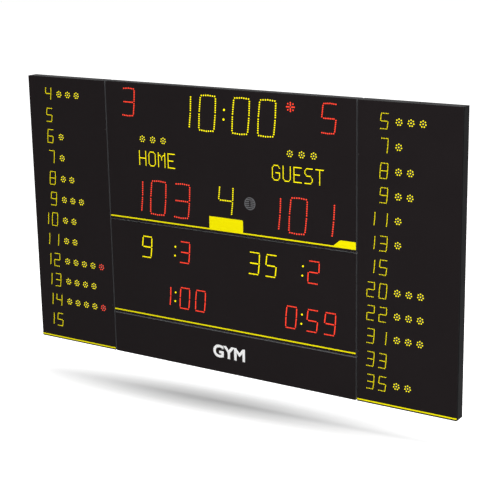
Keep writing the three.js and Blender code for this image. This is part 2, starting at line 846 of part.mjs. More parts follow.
for (const [side, name] of [[-1, "home"], [1, "guest"]]) {
  for (const step of [-1, 0, 1]) {
    round("top", side * timeoutOffset + step * timeoutPitch, level(timeoutDrop), lampRadius, lampSides);
  }
  const reachX = timeoutPitch + lampRadius + boardMargin;
  const reachZ = lampRadius + boardMargin;
  displayBoard(
    name + "_timeout_board",
    rectangle(
      side * timeoutOffset - reachX,
      side * timeoutOffset + reachX,
      level(timeoutDrop) - reachZ,
      level(timeoutDrop) + reachZ,
    ),
    side * timeoutOffset,
    level(timeoutDrop),
    "ledYellow",
  );
}

// A name board is a dot matrix that fills one window, so its face stands forward through the cover.
for (const [side, name] of [[-1, "home"], [1, "guest"]]) {
  const x = side * sideOffset;
  const z = level(nameDrop);
  const face = rectangle(x - nameWidth / 2, x + nameWidth / 2, z - nameHeight / 2, z + nameHeight / 2);
  const grown = rectangle(
    x - nameWidth / 2 - slotGap,
    x + nameWidth / 2 + slotGap,
    z - nameHeight / 2 - slotGap,
    z + nameHeight / 2 + slotGap,
  );
  slots.top.push(grown.getPoints());
  const reachX = nameWidth / 2 + boardMargin;
  const reachZ = nameHeight / 2 + boardMargin;
  const boardBack = lipFront + boardThickness;
  const housing = block(x - reachX, x + reachX, z - reachZ, z + reachZ, lipFront, boardBack);
  const plug = block(
    x - plugWidth / 2,
    x + plugWidth / 2,
    z - plugHeight / 2,
    z + plugHeight / 2,
    boardBack - overrun,
    boardBack + plugDepth,
  );
  place(name + "_name_board", joined([housing, flat(face, 0, lipFront + overrun), plug]), "plasticBlack");
}

for (const [side, name, shows] of [[-1, "home", homeScore], [1, "guest", guestScore]]) {
  const xs = [-1, 0, 1].map((step) => side * sideOffset + step * scorePitch);
  digits("top", shows, xs, level(scoreDrop), clockDigit, clockStroke, true);
  digitBoard(name + "_score_board", xs, level(scoreDrop), clockDigit, clockStroke, "ledRed");
}
digits("top", periodShows, [0], level(periodDrop), periodDigit, foulStroke, true);
digitBoard("period_board", [0], level(periodDrop), periodDigit, foulStroke, "ledYellow");

// Middle cabinet: on each side a penalised player's number, the count of penalties and the time left.
const middleLevel = (drop) => cabinets.middle.top - drop;
for (const [shift, name, shows] of [[0, "home", homePenalty], [guestShift, "guest", guestPenalty]]) {
  const row = middleLevel(shirtDrop);
  const units = shift - shirtOffset;
  const shirtXs = [units - shirtPitch, units];
  const colonX = shift - shirtColonOffset;
  const tallyX = shift - tallyOffset;
  digits("middle", shows.shirt, shirtXs, row, penaltyDigit, penaltyStroke);
  colon("middle", colonX, row, smallColonRadius, colonHalf);
  digits("middle", shows.tally, [tallyX], row, penaltyDigit, penaltyStroke);
  const reachX = cellHalf(penaltyDigit);
  const reachZ = penaltyHeight / 2 + boardMargin;
  const colonEdge = colonX + colonHalf * slantTan + smallColonRadius + boardMargin;
  displayBoard(
    name + "_penalty_number_board",
    rectangle(shirtXs[0] - reachX, colonEdge, row - reachZ, row + reachZ),
    shirtXs[1],
    row,
    "ledYellow",
  );
  const timerRow = middleLevel(timerDrop);
  const timerColon = shift - timerColonOffset;
  const timerXs = [timerColon - timerSpacing, timerColon + timerSpacing];
  timerXs.push(timerXs[1] + timerPitch);
  digits("middle", shows.timer, timerXs, timerRow, penaltyDigit, penaltyStroke);
  colon("middle", timerColon, timerRow, smallColonRadius, colonHalf);
  const timeBoard = outline([
    [timerXs[0] - reachX, timerRow - reachZ],
    [timerXs[2] + reachX, timerRow - reachZ],
    [timerXs[2] + reachX, timerRow + reachZ],
    [tallyX + reachX, timerRow + reachZ],
    [tallyX + reachX, row + reachZ],
    [tallyX - reachX, row + reachZ],
    [tallyX - reachX, timerRow + reachZ],
    [timerXs[0] - reachX, timerRow + reachZ],
  ]);
  displayBoard(name + "_penalty_time_board", timeBoard, timerXs[1], timerRow, "ledRed");
}

// Side cabinets: a number for each player and a lamp for each of their fouls.
for (const [side, name, players] of [["left", "home", homePlayers], ["right", "guest", guestPlayers]]) {
  const cabinet = cabinets[side];
  const xs = [cabinet.x + playerTens, cabinet.x + playerUnits];
  players.forEach(([number, fouls], row) => {
    const z = cabinet.top - playerDrop - row * playerPitch;
    digits(side, number, xs, z, playerDigit, playerStroke);
    for (let lamp = 0; lamp < fouls; lamp += 1) {
      round(side, cabinet.x + lampStart + lamp * lampPitch, z, lampRadius, lampSides);
    }
  });
  const first = cabinet.top - playerDrop;
  const last = first - (playerRows - 1) * playerPitch;
  const reachX = cellHalf(playerDigit);
  const reachZ = litHeight(playerDigit, playerStroke) / 2 + boardMargin;
  displayBoard(
    name + "_number_board",
    rectangle(xs[0] - reachX, xs[1] + reachX, last - reachZ, first + reachZ),
    (xs[0] + xs[1]) / 2,
    (first + last) / 2,
    "ledYellow",
  );
  const lampLeft = cabinet.x + lampStart - lampRadius - boardMargin;
  const lampRight = cabinet.x + lampEnd + lampRadius + boardMargin;
  displayBoard(
    name + "_foul_lamp_board",
    rectangle(lampLeft, lampRight, last - lampRadius - boardMargin, first + lampRadius + boardMargin),
    (lampLeft + lampRight) / 2,
    (first + last) / 2,
    "ledYellow",
  );
}

// A cover: a pierced sheet over the whole front, a return flange that stiffens it, and the bead of its hinge.
function cover(cabinet, pierced, throats) {
  const sheet = rectangle(cabinet.x, cabinet.right, cabinet.bottom, cabinet.top);
  const holes = pierced.map((points) => new THREE.Shape(points));
  for (const [x, z] of cabinet.hinge ? studPlaces(cabinet) : []) {
    holes.push(outline(polygonPoints(x, z, studHole, smallSides)));
  }
  for (const [x, z, radius] of throats) {
    holes.push(outline(polygonPoints(x, z, radius, roundSides)));
  }
  const edge = (inset) => rectangle(
    cabinet.x + inset,
    cabinet.right - inset,
    cabinet.bottom + inset,
    cabinet.top - inset,
  );
  const flange = edge(flangeInset);
  flange.holes.push(new THREE.Path(edge(flangeInset + flangeSheet).getPoints()));
  const plain = flat(sheet, 0, coverSheet);
  const skin = holes.length ? plain.subtract(flat(holes, -overrun, coverSheet + overrun)) : plain;
  const pieces = [skin, flat(flange, coverSheet - flangeSheet / 2, flangeDepth)];
  if (cabinet.hinge) {
    const half = neckThickness / 2;
    const meet = THREE.MathUtils.radToDeg(Math.asin(half / beadRadius));
    const keyhole = outline([
      [hingeInset - half, coverSheet / 2],
      ...hingeArc(beadRadius, meet, 360 - meet, roundSides),
      [hingeInset + half, coverSheet / 2],
    ]);
    const end = railWall + overrun;
    pieces.push(alongHinge(cabinet, keyhole, end, end));
  }
  return joined(pieces);
}

const hornLevel = level(periodDrop);
place("left_cover", cover(cabinets.left, slots.left, []), "coverBlack");
place("right_cover", cover(cabinets.right, slots.right, []), "coverBlack");
place("top_cover", cover(cabinets.top, slots.top, [[hornOffset, hornLevel, hornThroat]]), "coverBlack");
place("middle_cover", cover(cabinets.middle, slots.middle, []), "coverBlack");
place("sign_cover", cover(cabinets.sign, [], []), "coverBlack");

// The horn behind the top cover, and the slotted grille in front of its throat.
const hornAxis = (a, b, t) => [hornOffset + a, frontY + t, hornLevel - b];
const hornBack = lipFront + hornDepth;
const hornRimShare = 0.12;
const hornNeckShare = 0.55;
const hornMotorShare = 0.7;
place(
  "horn",
  turned(
    [
      [0, lipFront],
      [hornRadius + boardMargin, lipFront],
      [hornRadius + boardMargin, lipFront + hornDepth * hornRimShare],
      [hornThroat, lipFront + hornDepth * hornRimShare],
      [hornThroat * hornMotorShare, lipFront + hornDepth * hornNeckShare],
      [hornThroat * hornMotorShare, hornBack],
      [0, hornBack],
    ],
    roundSides,
    hornAxis,
  ),
  "plasticBlack",
);
const grilleDisc = outline(polygonPoints(hornOffset, hornLevel, hornRadius, 2 * roundSides));
const grilleSlots = [];
const rowPitch = grilleSlotHeight + grilleRowGap;
grilleRows.forEach((slotsInRow, row) => {
  const z = hornLevel + ((grilleRows.length - 1) / 2 - row) * rowPitch;
  for (const side of [-1, 1]) {
    for (let i = 0; i < slotsInRow; i += 1) {
      const near = side * (grilleBar / 2 + i * (grilleSlotWidth + grilleSlotGap));
      const far = near + side * grilleSlotWidth;
      grilleSlots.push(rectangle(
        hornOffset + Math.min(near, far),
        hornOffset + Math.max(near, far),
        z - grilleSlotHeight / 2,
        z + grilleSlotHeight / 2,
      ));
    }
  }
});
place(
  "horn_grille",
  flat(grilleDisc, -grilleSheet, 0).subtract(flat(grilleSlots, -grilleSheet - overrun, overrun)),
  "grilleGrey",
);

// Yellow stripes along the covers' lower edges. The top one carries a bare tab and a slanted flag.
function stripe(cabinet, rise) {
  return rectangle(
    cabinet.x,
    cabinet.right,
    cabinet.bottom + rise,
    cabinet.bottom + rise + stripeHeight,
  );
}

const stripeTop = cabinets.top.bottom + centreStripeRise + stripeHeight;
const stripeBottom = stripeTop - stripeHeight;
const tabTop = stripeTop + tabHeight;
const flagTop = stripeTop + flagRise;
const topStripe = new THREE.Shape();
topStripe.moveTo(cabinets.top.x, stripeBottom);
topStripe.lineTo(cabinets.top.right, stripeBottom);
topStripe.lineTo(cabinets.top.right, flagTop);
const flagLeft = cabinets.top.right - flagWidth;
topStripe.lineTo(flagLeft + flagSlant + tabCorner, flagTop);
topStripe.quadraticCurveTo(
  flagLeft + flagSlant,
  flagTop,
  flagLeft + flagSlant - (tabCorner * flagSlant) / flagRise,
  flagTop - tabCorner,
);
topStripe.lineTo(flagLeft, stripeTop);
topStripe.lineTo(tabWidth / 2, stripeTop);
topStripe.lineTo(tabWidth / 2, tabTop - tabCorner);
topStripe.absarc(tabWidth / 2 - tabCorner, tabTop - tabCorner, tabCorner, 0, Math.PI / 2);
topStripe.lineTo(-tabWidth / 2, tabTop);
topStripe.lineTo(-tabWidth / 2, stripeTop);
topStripe.lineTo(cabinets.top.x, stripeTop);
place("top_stripe", flat(topStripe, -stripeSheet, 0), "stripeYellow");
place("middle_stripe", flat(stripe(cabinets.middle, centreStripeRise), -stripeSheet, 0), "stripeYellow");
place("left_stripe", flat(stripe(cabinets.left, sideStripeRise), -stripeSheet, 0), "stripeYellow");
place("right_stripe", flat(stripe(cabinets.right, sideStripeRise), -stripeSheet, 0), "stripeYellow");

// Quarter-turn studs: a slotted head on the cover and a shank that a spring clip behind the lip would grip.
function stud(x, z) {
  const tip = lipFront + studGrip;
  const body = turned(
    [
      [0, -studHeadHeight],
      [studHead, -studHeadHeight],
      [studHead, 0],
      [studShank, 0],
      [studShank, tip - studTip],
      [studTip, tip],
      [0, tip],
    ],
    smallSides,
    (a, b, t) => [x + a, frontY + t, z - b],
  );
  const half = studSlot / 2;
  const slot = block(x - studHead, x + studHead, z - half, z + half, -studHeadHeight - overrun, -studSlot);
  return body.subtract(slot);
}

for (const name of ["left", "right", "top", "middle"]) {
  studPlaces(cabinets[name]).forEach(([x, z], i) => {
    place(name + "_stud_" + (i + 1), stud(x, z), "steel");
  });
}

// Inside the top cabinet, on its back sheet: power supply, control board and radio receiver.
function onBack(left, bottom, width, height, depth) {
  return block(left, left + width, bottom, bottom + height, insideBack - depth, insideBack);
}

const bayMiddle = level(timeoutDrop);
const supplyLeft = -supplyOffset - supplyWidth;
const supplyBottom = bayMiddle - supplyHeight / 2;
const vents = Array.from({ length: supplyVents }, (_, i) => {
  const x = supplyLeft + supplyWidth / 2 + (i - (supplyVents - 1) / 2) * (supplyVentWidth + supplyVentGap);
  const front = insideBack - supplyDepth;
  return block(
    x - supplyVentWidth / 2,
    x + supplyVentWidth / 2,
    supplyBottom + supplyHeight / 4,
    supplyBottom + (supplyHeight * 3) / 4,
    front - overrun,
    front + supplyVentDepth,
  );
});
place(
  "power_supply",
  without(onBack(supplyLeft, supplyBottom, supplyWidth, supplyHeight, supplyDepth), vents),
  "steel",
);

const controlLeft = -controlWidth / 2;
const controlBottom = bayMiddle - controlHeight / 2;
const controlFront = insideBack - controlStandoff - controlSheet;
const posts = [
  [controlLeft + controlPostInset, controlBottom + controlPostInset],
  [controlLeft + controlWidth - controlPostInset, controlBottom + controlPostInset],
  [controlLeft + controlPostInset, controlBottom + controlHeight - controlPostInset],
  [controlLeft + controlWidth - controlPostInset, controlBottom + controlHeight - controlPostInset],
].map(([x, z]) => {
  const ring = outline(polygonPoints(x, z, controlPost, postSides));
  return flat(ring, controlFront + controlSheet / 2, insideBack);
});
const chipShares = [
  [0.15, 0.45, 0.55, 0.85],
  [0.55, 0.7, 0.6, 0.8],
  [0.78, 0.92, 0.2, 0.8],
  [0.2, 0.6, 0.12, 0.3],
];
const chips = chipShares.map(([left, right, bottom, top]) => block(
  controlLeft + controlWidth * left,
  controlLeft + controlWidth * right,
  controlBottom + controlHeight * bottom,
  controlBottom + controlHeight * top,
  controlFront - chipHeight,
  controlFront + controlSheet / 2,
));
const controlPlate = block(
  controlLeft,
  controlLeft + controlWidth,
  controlBottom,
  controlBottom + controlHeight,
  controlFront,
  controlFront + controlSheet,
);
place("control_board", joined([controlPlate, ...posts, ...chips]), "boardGreen");

const radioLeft = supplyOffset;
const radioBottom = bayMiddle - radioHeight / 2;
const antennaX = radioLeft + radioWidth / 4;
const antenna = turned(
  [
    [0, radioBottom + radioHeight - overrun],
    [antennaRadius, radioBottom + radioHeight - overrun],
    [antennaRadius, radioBottom + radioHeight + antennaLength - antennaRadius],
    [antennaRadius / 2, radioBottom + radioHeight + antennaLength],
    [0, radioBottom + radioHeight + antennaLength],
  ],
  smallSides,
  (a, b, t) => [antennaX + a, frontY + insideBack - radioDepth / 2 + b, t],
);
place(
  "radio_receiver",
  onBack(radioLeft, radioBottom, radioWidth, radioHeight, radioDepth).add(antenna),
  "plasticBlack",
);

// Mains side, in the left cabinet: terminal box on the back sheet, and a blanked gland in the outer wall.
const terminalLeft = cabinets.left.x + terminalInset;
const terminalBottom = glandLevel - terminalHeight / 2;
const terminalBox = onBack(terminalLeft, terminalBottom, terminalWidth, terminalHeight, terminalDepth);
const terminalCover = block(
  terminalLeft - terminalLidMargin,
  terminalLeft + terminalWidth + terminalLidMargin,
  terminalBottom - terminalLidMargin,
  terminalBottom + terminalHeight + terminalLidMargin,
  insideBack - terminalDepth,
  insideBack - terminalDepth + terminalLid,
);
place("terminal_box", terminalBox.add(terminalCover), "boxGrey");

const glandAxis = (a, b, t) => [cabinets.left.x + t, frontY + linkDepth + a, glandLevel + b];
place(
  "mains_gland",
  turned(
    [
      [0, -seatGap - glandNutHeight - glandDome],
      [glandRadius / 2, -seatGap - glandNutHeight - glandDome],
      [glandRadius, -seatGap - glandNutHeight],
      [glandRadius + glandRim, -seatGap - glandNutHeight],
      [glandRadius + glandRim, -seatGap],
      [glandRadius, -seatGap],
      [glandRadius, railWall + seatGap],
      [glandRadius + glandRim, railWall + seatGap],
      [glandRadius + glandRim, railWall + seatGap + glandNutHeight / 2],
      [0, railWall + seatGap + glandNutHeight / 2],
    ],
    smallSides,
    glandAxis,
  ),
  "plasticBlack",
);

// Hollow nipples that carry the leads from one cabinet to the next, with a nut inside each wall.
function link(axis, gap, across) {
  const inner = gap[0] - railWall - seatGap;
  const outer = gap[1] + railWall + seatGap;
  const profile = [
    [linkBore, inner - linkNutHeight - overrun],
    [linkRadius, inner - linkNutHeight - overrun],
    [linkRadius, inner - linkNutHeight],
    [linkRadius + linkRim, inner - linkNutHeight],
    [linkRadius + linkRim, inner],
    [linkRadius, inner],
    [linkRadius, outer],
    [linkRadius + linkRim, outer],
    [linkRadius + linkRim, outer + linkNutHeight],
    [linkRadius, outer + linkNutHeight],
    [linkRadius, outer + linkNutHeight + overrun],
    [linkBore, outer + linkNutHeight + overrun],
    [linkBore, inner - linkNutHeight - overrun],
  ];
  const depth = frontY + linkDepth;
  const carries = {
    x: (a, b, t) => [t, depth + a, across + b],
    z: (a, b, t) => [across + a, depth + b, t],
  };
  return turned(profile, smallSides, carries[axis]);
}

place("left_link", link("x", gapLeft, linkLevel), "plasticBlack");
place("right_link", link("x", gapRight, linkLevel), "plasticBlack");
place("middle_link", link("z", gapMiddle, linkShift), "plasticBlack");

export default scoreboard;
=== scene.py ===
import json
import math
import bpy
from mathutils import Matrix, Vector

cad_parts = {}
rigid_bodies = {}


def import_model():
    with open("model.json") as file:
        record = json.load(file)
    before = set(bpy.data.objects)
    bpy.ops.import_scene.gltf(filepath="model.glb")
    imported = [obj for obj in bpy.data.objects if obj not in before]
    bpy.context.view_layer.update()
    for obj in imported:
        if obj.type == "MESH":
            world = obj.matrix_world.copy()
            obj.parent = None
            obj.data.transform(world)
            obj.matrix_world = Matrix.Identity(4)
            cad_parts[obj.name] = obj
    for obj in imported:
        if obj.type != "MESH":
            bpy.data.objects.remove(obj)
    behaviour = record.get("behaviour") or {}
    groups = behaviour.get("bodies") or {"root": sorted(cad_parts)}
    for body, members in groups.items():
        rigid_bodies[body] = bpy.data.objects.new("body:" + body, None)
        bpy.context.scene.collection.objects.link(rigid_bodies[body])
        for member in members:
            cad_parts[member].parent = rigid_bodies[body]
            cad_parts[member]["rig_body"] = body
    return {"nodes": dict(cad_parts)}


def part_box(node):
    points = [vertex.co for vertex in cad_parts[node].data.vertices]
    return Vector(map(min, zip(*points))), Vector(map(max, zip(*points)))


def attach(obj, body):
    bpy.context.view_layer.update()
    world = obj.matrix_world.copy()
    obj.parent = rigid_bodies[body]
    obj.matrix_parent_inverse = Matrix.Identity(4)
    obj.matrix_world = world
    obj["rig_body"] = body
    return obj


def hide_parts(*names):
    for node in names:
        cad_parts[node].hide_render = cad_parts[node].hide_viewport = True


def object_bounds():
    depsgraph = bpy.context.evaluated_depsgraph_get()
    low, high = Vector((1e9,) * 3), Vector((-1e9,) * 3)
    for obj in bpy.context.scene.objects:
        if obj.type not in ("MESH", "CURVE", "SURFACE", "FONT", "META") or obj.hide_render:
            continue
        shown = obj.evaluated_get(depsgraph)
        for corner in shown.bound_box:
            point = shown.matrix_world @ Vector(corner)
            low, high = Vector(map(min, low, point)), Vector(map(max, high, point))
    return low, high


bl_info = {
    "name": "Sports hall scoreboard",
    "version": (1, 0, 0),
    "blender": (4, 5, 0),
    "location": "View3D > Sidebar > Scoreboard",
    "description": "Dresses the packed scoreboard with its LED displays and finishes on a white stage",
    "category": "Object",
}

import bmesh
import bpy
from mathutils import Matrix, Vector

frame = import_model()
frame_box = [list(corner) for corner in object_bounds()]
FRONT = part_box("sign_cover")[0].y
BOARD_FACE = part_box("clock_board")[0].y
SIDE_JOINT = (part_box("top_casing")[1].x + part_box("right_casing")[0].x) / 2
LEVEL_JOINTS = [
    (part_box(upper)[0].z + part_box(lower)[1].z) / 2
    for upper, lower in (("top_casing", "middle_casing"), ("middle_casing", "sign_casing"))
]

# How far from a joint's middle the rails' walls get painted light, a lighter colour that stands in for the
# light which the narrow joints shade off, and how much of it in the upright joints.
PAINTED_JOINT_LIGHT_REACH = 0.0066
UPRIGHT_PAINTED_LIGHT_SHARE = 0.34

# The material slot of an LED's lens, and the gap that tells one level from another.
LED_LIT = 1
SLACK = 0.00001

# A lens's edge by its rise, then its dome: each step inwards by the lens's radius and outwards by its rise.
LENS_EDGE_SHARE = 1 / 3
DOME = ((0.28, 0.45), (0.32, 0.22))

# A rivet head's steps inwards and outwards, from its edge to the mandrel's hole.
HEAD_STEPS = ((0.0014, 0.0007), (0.0012, 0.0002), (0.0004, -0.0004))

# Lamps in a player's row. The last one is red.
FOUL_LAMPS = 5

# The lit strokes of the ten digits in order: a top, b and c right, d bottom, e and f left, g middle.
LIT_STROKES = ("abcdef", "bc", "abdeg", "abcdg", "bcfg", "acdfg", "acdefg", "abc", "abcdefg", "abcdfg")

# Dot letters, a row to a string.
LETTER_COLUMNS, LETTER_ROWS = 5, 7
DOT_LETTERS = {
    "E": ("11111", "10000", "10000", "11110", "10000", "10000", "11111"),
    "G": ("01110", "10001", "10000", "10111", "10001", "10001", "01110"),
    "H": ("10001", "10001", "10001", "11111", "10001", "10001", "10001"),
    "M": ("10001", "11011", "10101", "10101", "10001", "10001", "10001"),
    "O": ("01110", "10001", "10001", "10001", "10001", "10001", "01110"),
    "S": ("01111", "10000", "10000", "01110", "00001", "00001", "11110"),
    "T": ("11111", "00100", "00100", "00100", "00100", "00100", "00100"),
    "U": ("10001", "10001", "10001", "10001", "10001", "10001", "01110"),
}


def size(name, description, default):
    return bpy.props.FloatProperty(
        name=name, description=description, default=default, precision=4, unit="LENGTH"
    )


def share(name, description, default):
    return bpy.props.FloatProperty(
        name=name, description=description, default=default, precision=3, subtype="FACTOR"
    )


def amount(name, description, default, unit="NONE"):
    return bpy.props.FloatProperty(
        name=name, description=description, default=default, precision=3, unit=unit
    )


def angle(name, description, degrees):
    return bpy.props.FloatProperty(
        name=name, description=description, default=math.radians(degrees), subtype="ANGLE"
    )


def count(name, description, default):
    return bpy.props.IntProperty(name=name, description=description, default=default)


def colour(name, description, *default):
    level = [part / 255 for part in default]
    linear = [part / 12.92 if part <= 0.04045 else ((part + 0.055) / 1.055) ** 2.4 for part in level]
    return bpy.props.FloatVectorProperty(
        name=name, description=description, default=linear, size=3, min=0, max=1, subtype="COLOR"
    )


def shown(name, description, default):
    return bpy.props.StringProperty(name=name, description=description, default=default)


class StageSettings(bpy.types.PropertyGroup):
    lens: amount("Lens", "Focal length of the camera", 97.04, "CAMERA")
    sensor: amount("Sensor", "Width of the camera's sensor", 36, "CAMERA")
    camera_place: bpy.props.FloatVectorProperty(
        name="Camera place",
        description="Where the camera stands",
        default=(4.84128, -7.0687, 1.29129),
        size=3,
        subtype="TRANSLATION",
    )
    camera_turn: bpy.props.FloatVectorProperty(
        name="Camera turn",
        description="How the camera is turned",
        default=tuple(math.radians(angle) for angle in (75.5281, 0.97853, 33.51275)),
        size=3,
        subtype="EULER",
    )
    floor_gap: size("Floor gap", "How far the floor lies under the board", 0.235)
    floor_tilt: angle("Floor tilt", "How far the floor falls to the left", 1.6)
    floor_width: size("Floor width", "Width of the square floor", 80)
    floor_white: share("Floor white", "How much light the floor sends back", 0.68)
    shade_depth: size("Shade depth", "Spread of the shaded band to the front and back", 0.2)
    shade_width: size("Shade width", "Spread of the shaded band to the sides", 1.25)
    shade_place: size("Shade place", "Where the middle of that band lies across the board", -0.18)
    room_light: amount("Room light", "Strength of the even light from all round", 0.5)
    top_light: amount("Top light", "Power of the light overhead", 340, "POWER")
    front_light: amount("Front light", "Power of the light in front", 290, "POWER")
    background: colour("Background", "Colour behind the board", 255, 255, 255)


class ShownSettings(bpy.types.PropertyGroup):
    clock: shown("Clock", "What the clock shows", "1000")
    home_fouls: shown("Home fouls", "Fouls of the home team", "3")
    guest_fouls: shown("Guest fouls", "Fouls of the guest team", "5")
    home_score: shown("Home score", "Points of the home team", "103")
    guest_score: shown("Guest score", "Points of the guest team", "101")
    period: shown("Period", "Period of play", "4")
    home_shirt: shown("Home shirt", "Penalised player of the home team", " 9")
    guest_shirt: shown("Guest shirt", "Penalised player of the guest team", "35")
    home_tally: shown("Home tally", "Penalties of the home team", "3")
    guest_tally: shown("Guest tally", "Penalties of the guest team", "2")
    home_timer: shown("Home timer", "Time left of the home penalty", "100")
    guest_timer: shown("Guest timer", "Time left of the guest penalty", "059")
    home_name: shown("Home name", "Word in the home team's dot matrix", "HOME")
    guest_name: shown("Guest name", "Word in the guest team's dot matrix", "GUEST")
    home_players: shown("Home players", "Numbers of the home team", "4 5 6 7 8 9 10 11 12 13 14 15")
    home_lamps: shown("Home lamps", "Fouls of each home player", "3 0 1 1 2 3 2 2 5 4 5 0")
    guest_players: shown("Guest players", "Numbers of the guest team", "5 7 8 9 11 13 15 20 22 31 33 35")
    guest_lamps: shown("Guest lamps", "Fouls of each guest player", "3 1 2 2 1 1 0 3 3 3 0 2")
    sign_word: shown("Sign word", "Generic word on the sign cabinet", "GYM")


class DigitSettings(bpy.types.PropertyGroup):
    clock_digit: size("Clock digit", "Height of the clock's and score's digits", 0.232)
    foul_digit: size("Foul digit", "Height of the fouls' digits", 0.185)
    period_digit: size("Period digit", "Height of the period's digit", 0.203)
    penalty_digit: size("Penalty digit", "Height of the penalties' digits", 0.144)
    player_digit: size("Player digit", "Height of the players' numbers", 0.092)
    clock_stroke: size("Clock stroke", "Width of a stroke of the clock", 0.012)
    foul_stroke: size("Foul stroke", "Width of a stroke of the fouls", 0.011)
    penalty_stroke: size("Penalty stroke", "Width of a stroke of the penalties", 0.009)
    player_stroke: size("Player stroke", "Width of a stroke of the players' numbers", 0.006)
    colon_radius: size("Colon radius", "Radius of the clock's colon lamps", 0.0072)
    small_colon_radius: size("Small colon radius", "Radius of the penalties' colon lamps", 0.0062)
    colon_half: size("Colon half", "From a colon's middle to its lamp", 0.031)
    colon_margin: size("Colon margin", "From the tally colon's upper lamp to its board's edge", 0.011)
    board_margin: size("Board margin", "From a stroke's edge to its board's edge", 0.004)
    clock_gap: size("Clock gap", "Between the cells of two clock digits", 0.0094)
    shirt_gap: size("Shirt gap", "Between the cells of a penalised player's digits", 0.0138)
    tally_gap: size("Tally gap", "From the tally's colon to its digit's cell", 0.0219)
    timer_gap: size("Timer gap", "Between the cells of a penalty timer's seconds", 0.0133)
    timer_colon_gap: size("Timer colon gap", "From the minutes' cell to the timer's colon", 0.0209)
    lean: angle("Lean", "How far the digits lean to the right", 5)
    cell_half_share: share("Cell half share", "Half a digit's cell, by its height", 0.4)
    bar_half_share: share("Bar half share", "Half an outer bar, by the height", 0.226)
    shoulder_half_share: share("Shoulder half share", "Half width at the shoulders, by the height", 0.256)
    waist_half_share: share("Waist half share", "Half width at the waist, by the height", 0.269)
    shoulder_height_share: share("Shoulder height share", "Where an upright starts, by the height", 0.418)
    waist_height_share: share("Waist height share", "Where an upright ends, by the height", 0.042)
    arch_share: share("Arch share", "Rise of an arched bar, by the height", 0.018)
    stroke_end_share: share("Stroke end share", "A slot's end past its line, by the stroke", 0.375)
    middle_bar_back: share("Middle bar back", "From the waist to the middle bar's end, by the stroke", 1.25)


class LedSettings(bpy.types.PropertyGroup):
    slot_gap: size("Slot gap", "Clearance round a slot", 0.0003)
    play: size("Play", "Clearance between a lens and its slot", 0.0003)
    collar_rim: size("Collar rim", "How far an LED's black collar stands out past its lens", 0.0003)
    collar_step: size("Collar step", "How far the collar lies behind the cover's front", 0.0008)
    rise: size("Rise", "How far a lens stands out of the cover's front", 0.0009)
    sides: count("Sides", "Sides of a round lens", 10)
    leds_per_stroke: count("LEDs per stroke", "LEDs in a stroke of a large digit", 7)
    leds_per_small_stroke: count("LEDs per small stroke", "LEDs in a stroke of a penalty digit", 7)
    leds_per_player_stroke: count("LEDs per player stroke", "LEDs in a stroke of a player's number", 5)
    lamp_radius: size("Lamp radius", "Radius of a lamp's window", 0.026)
    lamp_margin: size("Lamp margin", "From a lamp's window to its board's edge", 0.004)
    lamp_leds: count("Lamp LEDs", "LEDs in the ring of a lamp", 7)
    lens_share: share("Lens share", "A digit's lens, by the width that its slot leaves", 0.87)
    lens_light: amount("Lens light", "Strength of a lit lens", 1.3)
    lamp_lens: size("Lamp lens", "Radius of a lamp's lens", 0.0041)
    lamp_ring: size("Lamp ring", "Radius of a lamp's ring of LEDs", 0.0183)
    star_arms: count("Star arms", "Arms of the possession star", 8)
    star_lens: size("Star lens", "Radius of the star's lenses", 0.0048)
    star_core: size("Star core", "Radius of the four LEDs in the star's middle", 0.0085)
    star_core_lens: size("Star core lens", "Radius of those LEDs' lenses", 0.0034)
    star_inner: size("Star inner ring", "Radius of the star's inner ring", 0.0168)
    star_outer: size("Star outer ring", "Radius of the star's outer ring", 0.0268)
    dot_column: size("Dot column", "From one column of dots to the next", 0.0132)
    dot_row: size("Dot row", "From one row of dots to the next", 0.0155)
    dot_lens: size("Dot lens", "Radius of a dot's lens", 0.0034)
    dot_depth: size("Dot depth", "How deep a dot reaches into its board's face", 0.0002)


class FilmSettings(bpy.types.PropertyGroup):
    line_height: size("Line height", "Height of the yellow line on a stripe's black film", 0.0089)
    top_rise: size("Top rise", "From the top stripe's lower edge to its yellow line's middle", 0.0063)
    middle_rise: size("Middle rise", "From the middle stripe's lower edge to its line's middle", 0.0056)
    side_rise: size("Side rise", "From a side stripe's lower edge to its line's middle", 0.008)
    tab_half: size("Tab half", "Half the width of the tab on the top stripe", 0.132)
    flag_width: size("Flag width", "Width of the flag at the top stripe's right end", 0.154)


class GrilleSettings(bpy.types.PropertyGroup):
    sides: count("Sides", "Sides of the grille's edge", 48)
    rim: size("Rim", "Plain rim round the slots", 0.0045)
    slots: count("Slots", "Level slots, one above another", 6)
    slot_pitch: size("Slot pitch", "From one slot to the next", 0.0126)
    slot_height: size("Slot height", "Height of a slot", 0.0058)
    slot_depth: size("Slot depth", "Depth of a slot's floor", 0.0012)
    middle_width: size("Middle width", "Width of the upright slot in the middle", 0.0095)
    middle_height: size("Middle height", "Height of the upright slot in the middle", 0.032)
    edge_bevel: size("Edge bevel", "Rounding of the rim's front edge", 0.0005)


class WordSettings(bpy.types.PropertyGroup):
    width: size("Width", "Width of the sign's word", 0.256)
    height: size("Height", "Height of the sign's word", 0.09)
    film: size("Film", "Thickness of the word's film", 0.0003)
    level: size("Level", "Where the word's middle lies, up from the origin", -1.601)
    boldness: share("Boldness", "How far a letter's outline swells, by the text's size", 0.038)


class RivetSettings(bpy.types.PropertyGroup):
    sides: count("Sides", "Sides of a rivet's head", 12)
    head_radius: size("Head radius", "Radius of a rivet's head", 0.0045)
    head_edge: size("Head edge", "Thickness of the head's edge", 0.0006)
    spacing: size("Spacing", "About how far one rivet is from the next", 0.3)
    edge: size("Edge", "From a back sheet's edge to its rivets", 0.009)
    set_back: size("Set back", "From the back of the sheet's hooks to the heads' bases", 0.002)


